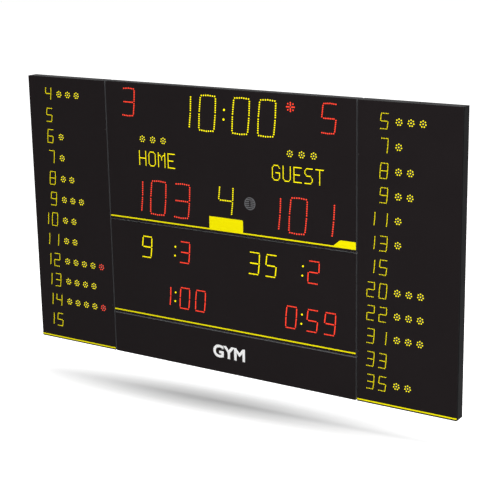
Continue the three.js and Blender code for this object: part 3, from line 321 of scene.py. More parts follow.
class ColourSettings(bpy.types.PropertyGroup):
    cover: colour("Cover", "Powder coat of the covers", 31, 27, 28)
    rail: colour("Rail", "Anodised cabinet rails", 31, 31, 32)
    # Painted light: a light grey for the rails' walls in the joints, standing in for the light that the
    # narrow joints shade off.
    joint_painted_light: colour("Joint", "Walls of the rails in the level joints between the cabinets", 150, 151, 154)
    aluminium: colour("Aluminium", "Mill finish of the back sheets", 150, 152, 154)
    zinc: colour("Zinc", "Zinc plating of the wall rails", 165, 168, 170)
    black_zinc: colour("Black zinc", "Plating of the studs", 40, 38, 39)
    yellow: colour("Yellow light", "Light of a yellow LED", 255, 242, 0)
    yellow_edge: colour("Yellow edge", "Edge of a lit yellow lens", 250, 222, 0)
    red: colour("Red light", "Light of a red LED", 255, 72, 50)
    red_edge: colour("Red edge", "Edge of a lit red lens", 240, 48, 34)
    led_black: colour("LED black", "Collar of an LED", 20, 19, 20)
    board: colour("Board", "Black solder mask of the display boards", 22, 23, 22)
    board_track: colour("Board track", "Tracks under the solder mask", 34, 38, 35)
    circuit: colour("Circuit", "Green solder mask of the control board", 26, 78, 48)
    stripe: colour("Stripe", "Yellow film of the stripes", 255, 242, 0)
    grille: colour("Grille", "Painted grille of the horn", 92, 92, 95)
    box: colour("Box", "Grey box of the terminals", 185, 187, 184)
    plastic: colour("Plastic", "Black plastic fittings", 24, 25, 27)
    word: colour("Word", "Film of the sign's word", 255, 255, 255)


def settings(name):
    return getattr(bpy.context.scene, "scoreboard_" + name)


# Shaping by hand: what is selected, and what the tools are given.

# A face looks along an axis when its normal's part along it is over this.
SQUARE = 0.99

# Points nearer than this are merged.
MERGE_GAP = 0.0001


def deselect():
    for item in list(bpy.context.selected_objects):
        item.select_set(False)


def opened(piece):
    """Start to shape a piece, with nothing of it selected."""
    deselect()
    piece.select_set(True)
    bpy.context.view_layer.objects.active = piece
    bpy.ops.object.mode_set(mode="EDIT")
    bpy.ops.mesh.select_all(action="DESELECT")


def closed(piece):
    """Stop shaping a piece, with its faces turned outwards."""
    bpy.ops.mesh.select_all(action="SELECT")
    bpy.ops.mesh.normals_make_consistent(inside=False)
    bpy.ops.object.mode_set(mode="OBJECT")
    return piece


def choose(piece, test):
    """Select the faces that pass a test."""
    bpy.ops.mesh.select_mode(type="FACE")
    bpy.ops.mesh.select_all(action="DESELECT")
    shape = bmesh.from_edit_mesh(piece.data)
    faces = [face for face in shape.faces if test(face)]
    if not faces:
        raise RuntimeError("nothing to select on " + piece.name)
    for face in faces:
        face.select_set(True)
    shape.select_flush_mode()
    bmesh.update_edit_mesh(piece.data)


def front_face(face):
    return face.normal.y < -SQUARE


def back_face(face):
    return face.normal.y > SQUARE


def push_forward(length):
    bpy.ops.mesh.extrude_region_move(TRANSFORM_OT_translate={"value": (0, -length, 0)})


def named(name):
    piece = bpy.context.active_object
    piece.name = name
    piece.data.name = name
    return piece


def applied(piece):
    bpy.ops.object.transform_apply(location=True, rotation=True, scale=True)
    return piece


def added_disc(name, radius, depth, sides, middle):
    """A short round bar that looks to the front."""
    deselect()
    bpy.ops.mesh.primitive_cylinder_add(
        vertices=sides,
        radius=radius,
        depth=depth,
        end_fill_type="NGON",
        location=middle,
        rotation=(math.pi / 2, 0, 0),
    )
    return applied(named(name))


def smoothed(piece, degrees):
    bpy.ops.object.shade_smooth_by_angle(angle=math.radians(degrees))
    return piece


def even(first, last, number):
    """Even places from the first to the last."""
    return [first + (last - first) * i / max(1, number - 1) for i in range(number)]


def copies(pattern, places, name):
    """One piece from a pattern modelled at the origin, copied to each place."""
    made = []
    for place in places:
        copy = pattern.copy()
        copy.data = pattern.data.copy()
        copy.data.transform(Matrix.Translation(place))
        bpy.context.scene.collection.objects.link(copy)
        made.append(copy)
    deselect()
    for copy in made:
        copy.select_set(True)
    bpy.context.view_layer.objects.active = made[0]
    if len(made) > 1:
        bpy.ops.object.join()
    return named(name)


def put_away(*patterns):
    for pattern in patterns:
        bpy.data.objects.remove(pattern)


def finished(piece, body, slot, *materials):
    """Give a piece its materials and the body that it rides. Its slot is not used."""
    while len(piece.data.materials) < len(materials):
        piece.data.materials.append(None)
    for i, material in enumerate(materials):
        piece.data.materials[i] = bpy.data.materials[material]
    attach(piece, body)
    return piece


def body_of(node):
    return frame["nodes"][node]["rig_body"]


# Node groups and materials.


class Sheet:
    """A material or group being wired: short calls for nodes and links."""

    def __init__(self, tree):
        self.tree = tree

    def add(self, kind, **values):
        node = self.tree.nodes.new(kind)
        for key, value in values.items():
            setattr(node, key, value)
        return node

    def link(self, out, into):
        self.tree.links.new(out, into)

    def feed(self, value, socket):
        """Link another node's socket, or set a plain value."""
        if isinstance(value, bpy.types.NodeSocket):
            self.link(value, socket)
        else:
            socket.default_value = value

    def maths(self, operation, *values):
        node = self.add("ShaderNodeMath", operation=operation)
        for value, socket in zip(values, node.inputs):
            self.feed(value, socket)
        return node.outputs[0]

    def most(self, first, *others):
        for other in others:
            first = self.maths("MAXIMUM", first, other)
        return first

    def near(self, value, level, reach):
        """One within a reach of a level, else nothing."""
        off = self.maths("ABSOLUTE", self.maths("SUBTRACT", value, level))
        return self.maths("LESS_THAN", off, reach)

    def blend(self, factor, first, second):
        node = self.add("ShaderNodeMix", data_type="RGBA")
        self.link(factor, node.inputs[0])
        for value, socket in ((first, node.inputs[6]), (second, node.inputs[7])):
            self.feed(value if isinstance(value, bpy.types.NodeSocket) else (*value, 1), socket)
        return node.outputs[2]

    def spread(self, value, low, high, out_low=0, out_high=1):
        node = self.add("ShaderNodeMapRange")
        self.link(value, node.inputs[0])
        for socket, number in zip(node.inputs[1:5], (low, high, out_low, out_high)):
            socket.default_value = number
        return node.outputs[0]

    def noise(self, vector, scale, detail=2, roughness=0.5):
        node = self.add("ShaderNodeTexNoise")
        self.feed(scale, node.inputs["Scale"])
        node.inputs["Detail"].default_value = detail
        node.inputs["Roughness"].default_value = roughness
        self.link(vector, node.inputs["Vector"])
        return node.outputs[0]

    def scaled(self, vector, level):
        node = self.add("ShaderNodeVectorMath", operation="SCALE")
        self.link(vector, node.inputs[0])
        self.feed(level, node.inputs["Scale"])
        return node.outputs[0]

    def axes(self, vector):
        node = self.add("ShaderNodeSeparateXYZ")
        self.link(vector, node.inputs[0])
        return node.outputs


def group(name, inputs, outputs):
    """A node group to fill: its sheet, what it is given and what it puts out."""
    tree = bpy.data.node_groups.new(name, "ShaderNodeTree")
    for side, sockets in (("INPUT", inputs), ("OUTPUT", outputs)):
        for socket, kind, default in sockets:
            made = tree.interface.new_socket(name=socket, in_out=side, socket_type="NodeSocket" + kind)
            if default is not None:
                made.default_value = default
    sheet = Sheet(tree)
    return sheet, sheet.add("NodeGroupInput").outputs, sheet.add("NodeGroupOutput").inputs


PLACE = ("Place", "Vector", None)
TINT = ("Colour", "Color", (0.5, 0.5, 0.5, 1))
ROUGHNESS = ("Roughness", "Float", 0.5)
HEIGHT = ("Height", "Float", 0.0)

# Where most of a noise's values lie.
NOISE_SPAN = (0.3, 0.7)

# How deep the finishes' bumps are.
PEEL_RELIEF = 0.00004
STREAK_RELIEF = 0.00002
TRACK_RELIEF = 0.00003
FILM_RELIEF = 0.00001

# Printed film: hardly any gloss, an even colour and a very fine grain.
FILM_GLOSS = 0.03
FILM_COAT = {"Drift": 0.02, "Grain": 1400}

# The tracks of a board, drawn as the joints of a brick wall, and how many pads it has to a brick's scale.
TRACK_BRICKS = {"Mortar Size": 0.035, "Mortar Smooth": 0.1, "Brick Width": 2.3, "Row Height": 0.55}
PADS_PER_TRACK = 0.8

# How far the edges of the zinc's crystals bend.
SPANGLE_BEND = 0.006

# How far a lens's edge and its crown lie ahead of the cover's front, for its colours.
LENS_SPAN = (-0.0008, 0.0007)

# A lens's own colour under its glow, by its edge's colour.
UNLIT_SHARE = 0.25


def coat_group():
    """Powder coat: a fine orange peel, and a colour that drifts a little."""
    inputs = (PLACE, TINT, ("Drift", "Float", 0.06), ("Grain", "Float", 700.0))
    sheet, given, out = group("Powder coat", inputs, (TINT, ROUGHNESS, HEIGHT))
    cloud = sheet.noise(given["Place"], scale=3.1, detail=3)
    swing = sheet.maths("MULTIPLY", sheet.spread(cloud, *NOISE_SPAN, -1, 1), given["Drift"])
    sheet.link(sheet.scaled(given["Colour"], sheet.maths("ADD", swing, 1.0)), out["Colour"])
    sheet.link(sheet.noise(given["Place"], given["Grain"]), out["Height"])
    sheet.link(sheet.spread(cloud, 0.25, 0.75, out_low=0.5, out_high=0.6), out["Roughness"])


def streak_group():
    """Drawn or rolled metal: streaks that run along the piece, and dull patches."""
    inputs = (
        PLACE,
        TINT,
        ("Along", "Vector", (1.0, 400.0, 1.0)),
        ("Depth", "Float", 0.12),
        ("Gloss", "Float", 0.4),
    )
    sheet, given, out = group("Metal streaks", inputs, (TINT, ROUGHNESS, HEIGHT))
    drawn = sheet.add("ShaderNodeVectorMath", operation="MULTIPLY")
    sheet.link(given["Place"], drawn.inputs[0])
    sheet.link(given["Along"], drawn.inputs[1])
    lines = sheet.noise(drawn.outputs[0], scale=1, detail=3, roughness=0.65)
    patches = sheet.noise(given["Place"], scale=6, detail=3)
    swing = sheet.maths("MULTIPLY", sheet.spread(lines, *NOISE_SPAN, -1, 1), given["Depth"])
    sheet.link(sheet.scaled(given["Colour"], sheet.maths("ADD", swing, 1.0)), out["Colour"])
    dull = sheet.maths("ADD", given["Gloss"], sheet.spread(patches, *NOISE_SPAN, -0.06, 0.06))
    sheet.link(sheet.maths("ADD", dull, sheet.spread(lines, *NOISE_SPAN, -0.04, 0.04)), out["Roughness"])
    sheet.link(lines, out["Height"])


def track_group():
    """A circuit board: fine tracks in two directions under a solder mask, with small pads."""
    inputs = (PLACE, TINT, ("Track", "Color", (0.1, 0.2, 0.1, 1)), ("Pitch", "Float", 120.0))
    sheet, given, out = group("Circuit tracks", inputs, (TINT, ROUGHNESS, HEIGHT))
    flat = sheet.axes(given["Place"])
    seen = sheet.add("ShaderNodeCombineXYZ")
    sheet.link(flat["X"], seen.inputs["X"])
    sheet.link(flat["Z"], seen.inputs["Y"])
    masks = []
    for turn in (0, math.pi / 2):
        bricks = sheet.add("ShaderNodeTexBrick", offset=0.37, squash=0.7, squash_frequency=3)
        turned = sheet.add("ShaderNodeMapping")
        turned.inputs["Rotation"].default_value = (0, 0, turn)
        sheet.link(seen.outputs[0], turned.inputs["Vector"])
        sheet.link(turned.outputs[0], bricks.inputs["Vector"])
        sheet.link(given["Pitch"], bricks.inputs["Scale"])
        for key, value in TRACK_BRICKS.items():
            bricks.inputs[key].default_value = value
        masks.append(bricks.outputs["Fac"])
    dots = sheet.add("ShaderNodeTexVoronoi", feature="F1")
    sheet.link(seen.outputs[0], dots.inputs["Vector"])
    sheet.link(sheet.maths("MULTIPLY", given["Pitch"], PADS_PER_TRACK), dots.inputs["Scale"])
    pads = sheet.spread(dots.outputs["Distance"], 0.1, 0.16, out_low=1, out_high=0)
    mask = sheet.most(*masks, pads)
    sheet.link(sheet.blend(mask, given["Colour"], given["Track"]), out["Colour"])
    sheet.link(mask, out["Height"])
    sheet.link(sheet.spread(mask, 0, 1, out_low=0.42, out_high=0.3), out["Roughness"])


def spangle_group():
    """Zinc: crystals of slightly different greys, with bent edges."""
    sheet, given, out = group("Zinc spangle", (PLACE, TINT), (TINT, ROUGHNESS))
    cells = sheet.add("ShaderNodeTexVoronoi", feature="F1")
    cells.inputs["Scale"].default_value = 90
    bent = sheet.add("ShaderNodeVectorMath", operation="ADD")
    warp = sheet.add("ShaderNodeTexNoise")
    warp.inputs["Scale"].default_value = 60
    sheet.link(given["Place"], warp.inputs["Vector"])
    sheet.link(given["Place"], bent.inputs[0])
    sheet.link(sheet.scaled(warp.outputs["Color"], SPANGLE_BEND), bent.inputs[1])
    sheet.link(bent.outputs[0], cells.inputs["Vector"])
    shade = sheet.add("ShaderNodeSeparateColor")
    sheet.link(cells.outputs["Color"], shade.inputs[0])
    level = sheet.spread(shade.outputs[0], 0, 1, out_low=0.86, out_high=1.1)
    sheet.link(sheet.scaled(given["Colour"], level), out["Colour"])
    sheet.link(sheet.spread(shade.outputs[1], 0, 1, out_low=0.32, out_high=0.5), out["Roughness"])


def glow_group():
    """A lit lens: its edge is darker than its crown, and no two LEDs are quite alike."""
    inputs = (
        PLACE,
        ("Crown", "Color", (1, 1, 0, 1)),
        ("Edge", "Color", (1, 0.5, 0, 1)),
        ("Front", "Float", 0.0),
    )
    sheet, given, out = group("Lens glow", inputs, (TINT,))
    ahead = sheet.maths("SUBTRACT", given["Front"], sheet.axes(given["Place"])["Y"])
    crown = sheet.spread(ahead, *LENS_SPAN)
    lit = sheet.blend(crown, given["Edge"], given["Crown"])
    patches = sheet.noise(given["Place"], scale=37, detail=1)
    uneven = sheet.spread(patches, *NOISE_SPAN, out_low=0.93, out_high=1)
    sheet.link(sheet.scaled(lit, uneven), out["Colour"])


def material(name, specular=0.5, metallic=0.0):
    made = bpy.data.materials.new(name)
    made.use_nodes = True
    sheet = Sheet(made.node_tree)
    shader = next(node for node in made.node_tree.nodes if node.type == "BSDF_PRINCIPLED")
    shader.inputs["Specular IOR Level"].default_value = specular
    shader.inputs["Metallic"].default_value = metallic
    place = sheet.add("ShaderNodeTexCoord").outputs["Object"]
    return sheet, shader.inputs, place


def effect(sheet, name, place, **values):
    node = sheet.add("ShaderNodeGroup")
    node.node_tree = bpy.data.node_groups[name]
    sheet.link(place, node.inputs["Place"])
    for key, value in values.items():
        socket = node.inputs[key]
        socket.default_value = (*value, 1) if socket.type == "RGBA" else value
    return node.outputs


def laid(sheet, shader, look, relief=0):
    """Wire an effect's colour, roughness and, where it has a relief, its height to the shader."""
    sheet.link(look["Colour"], shader["Base Color"])
    sheet.link(look["Roughness"], shader["Roughness"])
    if relief:
        bump = sheet.add("ShaderNodeBump")
        bump.inputs["Strength"].default_value = 1
        bump.inputs["Distance"].default_value = relief
        sheet.link(look["Height"], bump.inputs["Height"])
        sheet.link(bump.outputs[0], shader["Normal"])


def coated(name, tint, specular, drift=0.05, grain=650):
    sheet, shader, place = material(name, specular)
    coat = effect(sheet, "Powder coat", place, Colour=tint, Drift=drift, Grain=grain)
    laid(sheet, shader, coat, PEEL_RELIEF)


def drawn(name, tint, along, metallic, specular=0.5, depth=0.1, gloss=0.4):
    sheet, shader, place = material(name, specular, metallic)
    streaks = effect(sheet, "Metal streaks", place, Colour=tint, Along=along, Depth=depth, Gloss=gloss)
    laid(sheet, shader, streaks, STREAK_RELIEF)


def rails_with_painted_joint_light(name, tint, joint_painted_light, along, specular):
    """Rails, whose walls in the joints between the cabinets are painted lighter: painted light that stands
    in for the light which the narrow joints shade off.
    """
    sheet, shader, place = material(name, specular)
    streaks = effect(sheet, "Metal streaks", place, Along=along, Depth=0.1, Gloss=0.42)
    part = sheet.axes(place)
    across = sheet.maths("ABSOLUTE", part["X"])
    # Painted light: near the level joints, and less so near the upright ones, the walls blend to the
    # lighter joint colour.
    painted_level_light = sheet.most(*[sheet.near(part["Z"], level, PAINTED_JOINT_LIGHT_REACH) for level in LEVEL_JOINTS])
    painted_inner_light = sheet.maths("MULTIPLY", painted_level_light, sheet.maths("LESS_THAN", across, SIDE_JOINT))
    upright = sheet.maths("MULTIPLY", sheet.near(across, SIDE_JOINT, PAINTED_JOINT_LIGHT_REACH), UPRIGHT_PAINTED_LIGHT_SHARE)
    tints = sheet.blend(sheet.most(upright, painted_inner_light), tint, joint_painted_light)
    sheet.link(tints, streaks["Colour"].node.inputs["Colour"])
    laid(sheet, shader, streaks, STREAK_RELIEF)


def printed(name, tint, track, pitch):
    sheet, shader, place = material(name, specular=0.3)
    board = effect(sheet, "Circuit tracks", place, Colour=tint, Track=track, Pitch=pitch)
    laid(sheet, shader, board, TRACK_RELIEF)


def spangled(name, tint):
    sheet, shader, place = material(name, metallic=0.75)
    laid(sheet, shader, effect(sheet, "Zinc spangle", place, Colour=tint))


def glowing(name, crown, edge, strength):
    """A lit LED's lens, which glows over a dull colour of its own."""
    sheet, shader, place = material(name, FILM_GLOSS)
    shader["Roughness"].default_value = 0.25
    shader["Base Color"].default_value = (*[part * UNLIT_SHARE for part in edge], 1)
    shader["Emission Strength"].default_value = strength
    glow = effect(sheet, "Lens glow", place, Crown=crown, Edge=edge, Front=FRONT)
    sheet.link(glow["Colour"], shader["Emission Color"])


def film(name, tint):
    """Printed film of one colour."""
    sheet, shader, place = material(name, FILM_GLOSS)
    laid(sheet, shader, effect(sheet, "Powder coat", place, Colour=tint, **FILM_COAT), FILM_RELIEF)


def striped(name, tint, edge):
    """The stripes' film: a yellow line between black edges, and a yellow tab and flag."""
    sizes = settings("film")
    sheet, shader, place = material(name, FILM_GLOSS)
    coat = effect(sheet, "Powder coat", place, **FILM_COAT)
    part = sheet.axes(place)
    masks = []
    for stripe, rise in (("top", sizes.top_rise), ("middle", sizes.middle_rise), ("left", sizes.side_rise)):
        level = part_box(stripe + "_stripe")[0].z + rise
        masks.append(sheet.near(part["Z"], level, sizes.line_height / 2))
        if stripe == "top":
            flag_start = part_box("top_stripe")[1].x - sizes.flag_width
            on_tab = sheet.near(part["X"], 0.0, sizes.tab_half)
            on_flag = sheet.maths("GREATER_THAN", part["X"], flag_start)
            above = sheet.maths("GREATER_THAN", part["Z"], level)
            masks.append(sheet.maths("MULTIPLY", above, sheet.most(on_tab, on_flag)))
    tints = sheet.blend(sheet.most(*masks), edge, tint)
    sheet.link(tints, coat["Colour"].node.inputs["Colour"])
    laid(sheet, shader, coat, FILM_RELIEF)


NODE_FINISHES = {
    "_casing": "Rail",
    "_cover": "Cover",
    "_back_sheet": "Back sheet",
    "_wall_rail": "Zinc",
    "_stripe": "Stripe",
    "_link": "Plastic",
    "_board": "Display board",
}
NODE_EXACT = {
    "horn": "Plastic",
    "horn_grille": "Grille",
    "power_supply": "Supply case",
    "control_board": "Control board",
    "radio_receiver": "Plastic",
    "terminal_box": "Grey box",
    "mains_gland": "Plastic",
    "home_name_board": "Matrix",
    "guest_name_board": "Matrix",
}
STUD_FINISH = "Black zinc"

# The lamps: name, place, turn in degrees, width and depth, and the setting with its power.
LAMPS = (
    ("Top light", (0, FRONT / 2, 6), (0, 0, 0), (5, 4), "top_light"),
    ("Front light", (4, -6, 2.5), (65, 0, 33), (3, 3), "front_light"),
)


class SCOREBOARD_OT_stage(bpy.types.Operator):
    """Set up the camera, the white floor and the lights"""

    bl_idname = "scoreboard.stage"
    bl_label = "Stage"

    def execute(self, context):
        stage = settings("stage")
        lens = bpy.data.cameras.new("Camera")
        lens.lens = stage.lens
        lens.sensor_width = stage.sensor
        camera = bpy.data.objects.new("Camera", lens)
        camera.location = stage.camera_place
        camera.rotation_euler = stage.camera_turn
        context.scene.collection.objects.link(camera)
        context.scene.camera = camera
        context.scene.view_settings.view_transform = "Standard"

        deselect()
        level = frame_box[0][2] - stage.floor_gap
        bpy.ops.mesh.primitive_plane_add(
            size=stage.floor_width, location=(0, 0, level), rotation=(0, -stage.floor_tilt, 0)
        )
        floor = applied(named("Floor"))
        paint = bpy.data.materials.new("Floor")
        paint.use_nodes = True
        tree = Sheet(paint.node_tree)
        tree.tree.nodes.clear()
        matt = tree.add("ShaderNodeBsdfDiffuse")
        matt.inputs["Color"].default_value = (stage.floor_white,) * 3 + (1,)
        glow = tree.add("ShaderNodeEmission")
        place = tree.axes(tree.add("ShaderNodeTexCoord").outputs["Object"])

        # The floor glows white, but not in a bell-shaped band under the board, which keeps its shadow.
        squares = []
        for along, centre, reach in (
            (place["X"], stage.shade_place, stage.shade_width),
            (place["Y"], FRONT / 2, stage.shade_depth),
        ):
            off = tree.maths("DIVIDE", tree.maths("SUBTRACT", along, centre), reach)
            squares.append(tree.maths("MULTIPLY", off, off))
        near = tree.maths("EXPONENT", tree.maths("MULTIPLY", tree.maths("ADD", *squares), -0.5))
        away = tree.maths("SUBTRACT", 1.0, near)
        tree.link(tree.maths("MULTIPLY", self.seen(tree), away), glow.inputs["Strength"])
        both = tree.add("ShaderNodeAddShader")
        tree.link(matt.outputs[0], both.inputs[0])
        tree.link(glow.outputs[0], both.inputs[1])
        tree.link(both.outputs[0], tree.add("ShaderNodeOutputMaterial").inputs["Surface"])
        floor.data.materials.append(paint)

        world = bpy.data.worlds.new("Room")
        world.use_nodes = True
        context.scene.world = world
        sky = Sheet(world.node_tree)
        sky.tree.nodes.clear()
        room = sky.add("ShaderNodeBackground")
        room.inputs["Strength"].default_value = stage.room_light
        white = sky.add("ShaderNodeBackground")
        white.inputs["Color"].default_value = (*stage.background, 1)
        mix = sky.add("ShaderNodeMixShader")
        sky.link(self.seen(sky), mix.inputs[0])
        sky.link(room.outputs[0], mix.inputs[1])
        sky.link(white.outputs[0], mix.inputs[2])
        sky.link(mix.outputs[0], sky.add("ShaderNodeOutputWorld").inputs["Surface"])

        for name, place, turn, spread, power in LAMPS:
            angles = [math.radians(degrees) for degrees in turn]
            self.lamp(name, place, angles, spread, getattr(stage, power))
        return {"FINISHED"}

    @staticmethod
    def seen(tree):
        """One where the camera, a reflection or a pane looks, else nothing."""
        path = tree.add("ShaderNodeLightPath")
        return tree.most(*[path.outputs[f"Is {kind} Ray"] for kind in ("Camera", "Glossy", "Transmission")])

    @staticmethod
    def lamp(name, place, turn, spread, power):
        light = bpy.data.lights.new(name, "AREA")
        light.shape = "RECTANGLE"
        light.size, light.size_y = spread
        light.energy = power
        lamp = bpy.data.objects.new(name, light)
        lamp.location = place
        lamp.rotation_euler = turn
        bpy.context.scene.collection.objects.link(lamp)


class SCOREBOARD_OT_finishes(bpy.types.Operator):
    """Make the materials and give each node of the frame its own"""

    bl_idname = "scoreboard.finishes"
    bl_label = "Finishes"

    def execute(self, context):
        for make in (coat_group, streak_group, track_group, spangle_group, glow_group):
            make()
        tints = settings("colours")
        coated("Cover", tints.cover, specular=0.02)
        coated("Grille", tints.grille, specular=0.3, grain=900)
        coated("Grey box", tints.box, specular=0.3, drift=0.03, grain=1200)
        coated("Plastic", tints.plastic, specular=0.3, grain=1100)
        coated("LED collar", tints.led_black, specular=0.15)
        coated("Matrix", tints.cover, specular=0.02)
        # The rails' walls in the joints get painted light from the joint colour.
        rails_with_painted_joint_light("Rail", tints.rail, tints.joint_painted_light, (2.0, 900.0, 2.0), specular=0.01)
        drawn("Back sheet", tints.aluminium, (1.5, 60.0, 500.0), metallic=0.55, depth=0.08, gloss=0.45)
        drawn("Supply case", tints.aluminium, (4.0, 700.0, 700.0), metallic=0.6)
        drawn("Black zinc", tints.black_zinc, (600.0,) * 3, metallic=0.2, specular=0.3, gloss=0.45)
        drawn("Rivet", tints.aluminium, (500.0,) * 3, metallic=0.6, gloss=0.35)
        printed("Display board", tints.board, tints.board_track, pitch=160)
        printed("Control board", tints.circuit, tints.board_track, pitch=240)
        spangled("Zinc", tints.zinc)
        glowing("Yellow lens", tints.yellow, tints.yellow_edge, settings("leds").lens_light)
        glowing("Red lens", tints.red, tints.red_edge, settings("leds").lens_light)
        striped("Stripe", tints.stripe, tints.cover)
        film("Word", tints.word)
        for name, node in frame["nodes"].items():
            by_end = [finish for end, finish in NODE_FINISHES.items() if name.endswith(end)]
            finish = NODE_EXACT.get(name, by_end[0] if by_end else STUD_FINISH)
            node.data.materials.clear()
            node.data.materials.append(bpy.data.materials[finish])
        return {"FINISHED"}


def digit_lines(height, stroke, arched):
    """The middle lines of the seven strokes, about the digit's middle, upright."""
    sizes = settings("digits")
    half = height / 2
    arch = height * sizes.arch_share if arched else 0
    bar = height * sizes.bar_half_share
    high, low = height * sizes.shoulder_height_share, height * sizes.waist_height_share
    shoulder, waist = height * sizes.shoulder_half_share, height * sizes.waist_half_share
    middle = waist - stroke * sizes.middle_bar_back
    return {
        "a": ((-bar, half - arch), (0, half), (bar, half - arch)),
        "b": ((shoulder, high), (waist, low)),
        "c": ((waist, -low), (shoulder, -high)),
        "d": ((-bar, arch - half), (0, -half), (bar, arch - half)),
        "e": ((-waist, -low), (-shoulder, -high)),
        "f": ((-shoulder, high), (-waist, low)),
        "g": ((-middle, 0), (middle, 0)),
    }


def led_line(line, number, inset):
    """Even places along a bent line, drawn in at both ends."""
    points = [Vector(point) for point in line]
    lengths = [(b - a).length for a, b in zip(points, points[1:])]
    whole = sum(lengths)
    places = []
    for along in even(inset, whole - inset, number):
        for a, b, length in zip(points, points[1:], lengths):
            if along <= length or b is points[-1]:
                places.append(a.lerp(b, along / length))
                break
            along -= length
    return places


def digit_places(figure, x, z, height, stroke, number, lens, arched):
    """The LEDs of a digit's lit strokes."""
    sizes = settings("digits")
    led = settings("leds")
    lit = LIT_STROKES[int(figure)] if figure.strip() else ""
    inset = max(0, lens + led.play - stroke * sizes.stroke_end_share - led.slot_gap)
    lean = math.tan(sizes.lean)
    places = []
    for letter, line in digit_lines(height, stroke, arched).items():
        if letter in lit:
            places += [(x + p.x + p.y * lean, 0, z + p.y) for p in led_line(line, number, inset)]
    return places


def colon_places(x, z):
    half = settings("digits").colon_half
    lean = math.tan(settings("digits").lean)
    return [(x + side * half * lean, 0, z + side * half) for side in (-1, 1)]


def ring_places(x, z, radius, number):
    turns = [math.tau * i / number for i in range(number)]
    return [(x + radius * math.sin(turn), 0, z + radius * math.cos(turn)) for turn in turns]


def led_pattern(name, lens, back=BOARD_FACE, sunk=True):
    """An LED that looks to the front: a round lens with a low dome, in a black collar."""
    led = settings("leds")
    step = FRONT + led.collar_step if sunk else FRONT
    depth = back - step
    piece = added_disc(name, lens + led.collar_rim, depth, led.sides, (0, step + depth / 2, 0))
    piece.data.materials.append(bpy.data.materials["LED collar"])
    piece.data.materials.append(bpy.data.materials["Yellow lens"])
    opened(piece)
    choose(piece, front_face)
    bpy.ops.mesh.inset(thickness=led.collar_rim)
    push_forward(step - FRONT + led.rise * LENS_EDGE_SHARE)
    for inwards, outwards in DOME:
        bpy.ops.mesh.inset(thickness=lens * inwards, depth=led.rise * outwards)
    choose(piece, lambda face: face.calc_center_median().y < step - SLACK)
    piece.active_material_index = LED_LIT
    bpy.ops.object.material_slot_assign()
    return smoothed(closed(piece), 50)


def lit_piece(name, node, pattern, places, light):
    piece = copies(pattern, places, name)
    slot = light.lower() + "_leds"
    return finished(piece, body_of(node), slot, "LED collar", light + " lens")


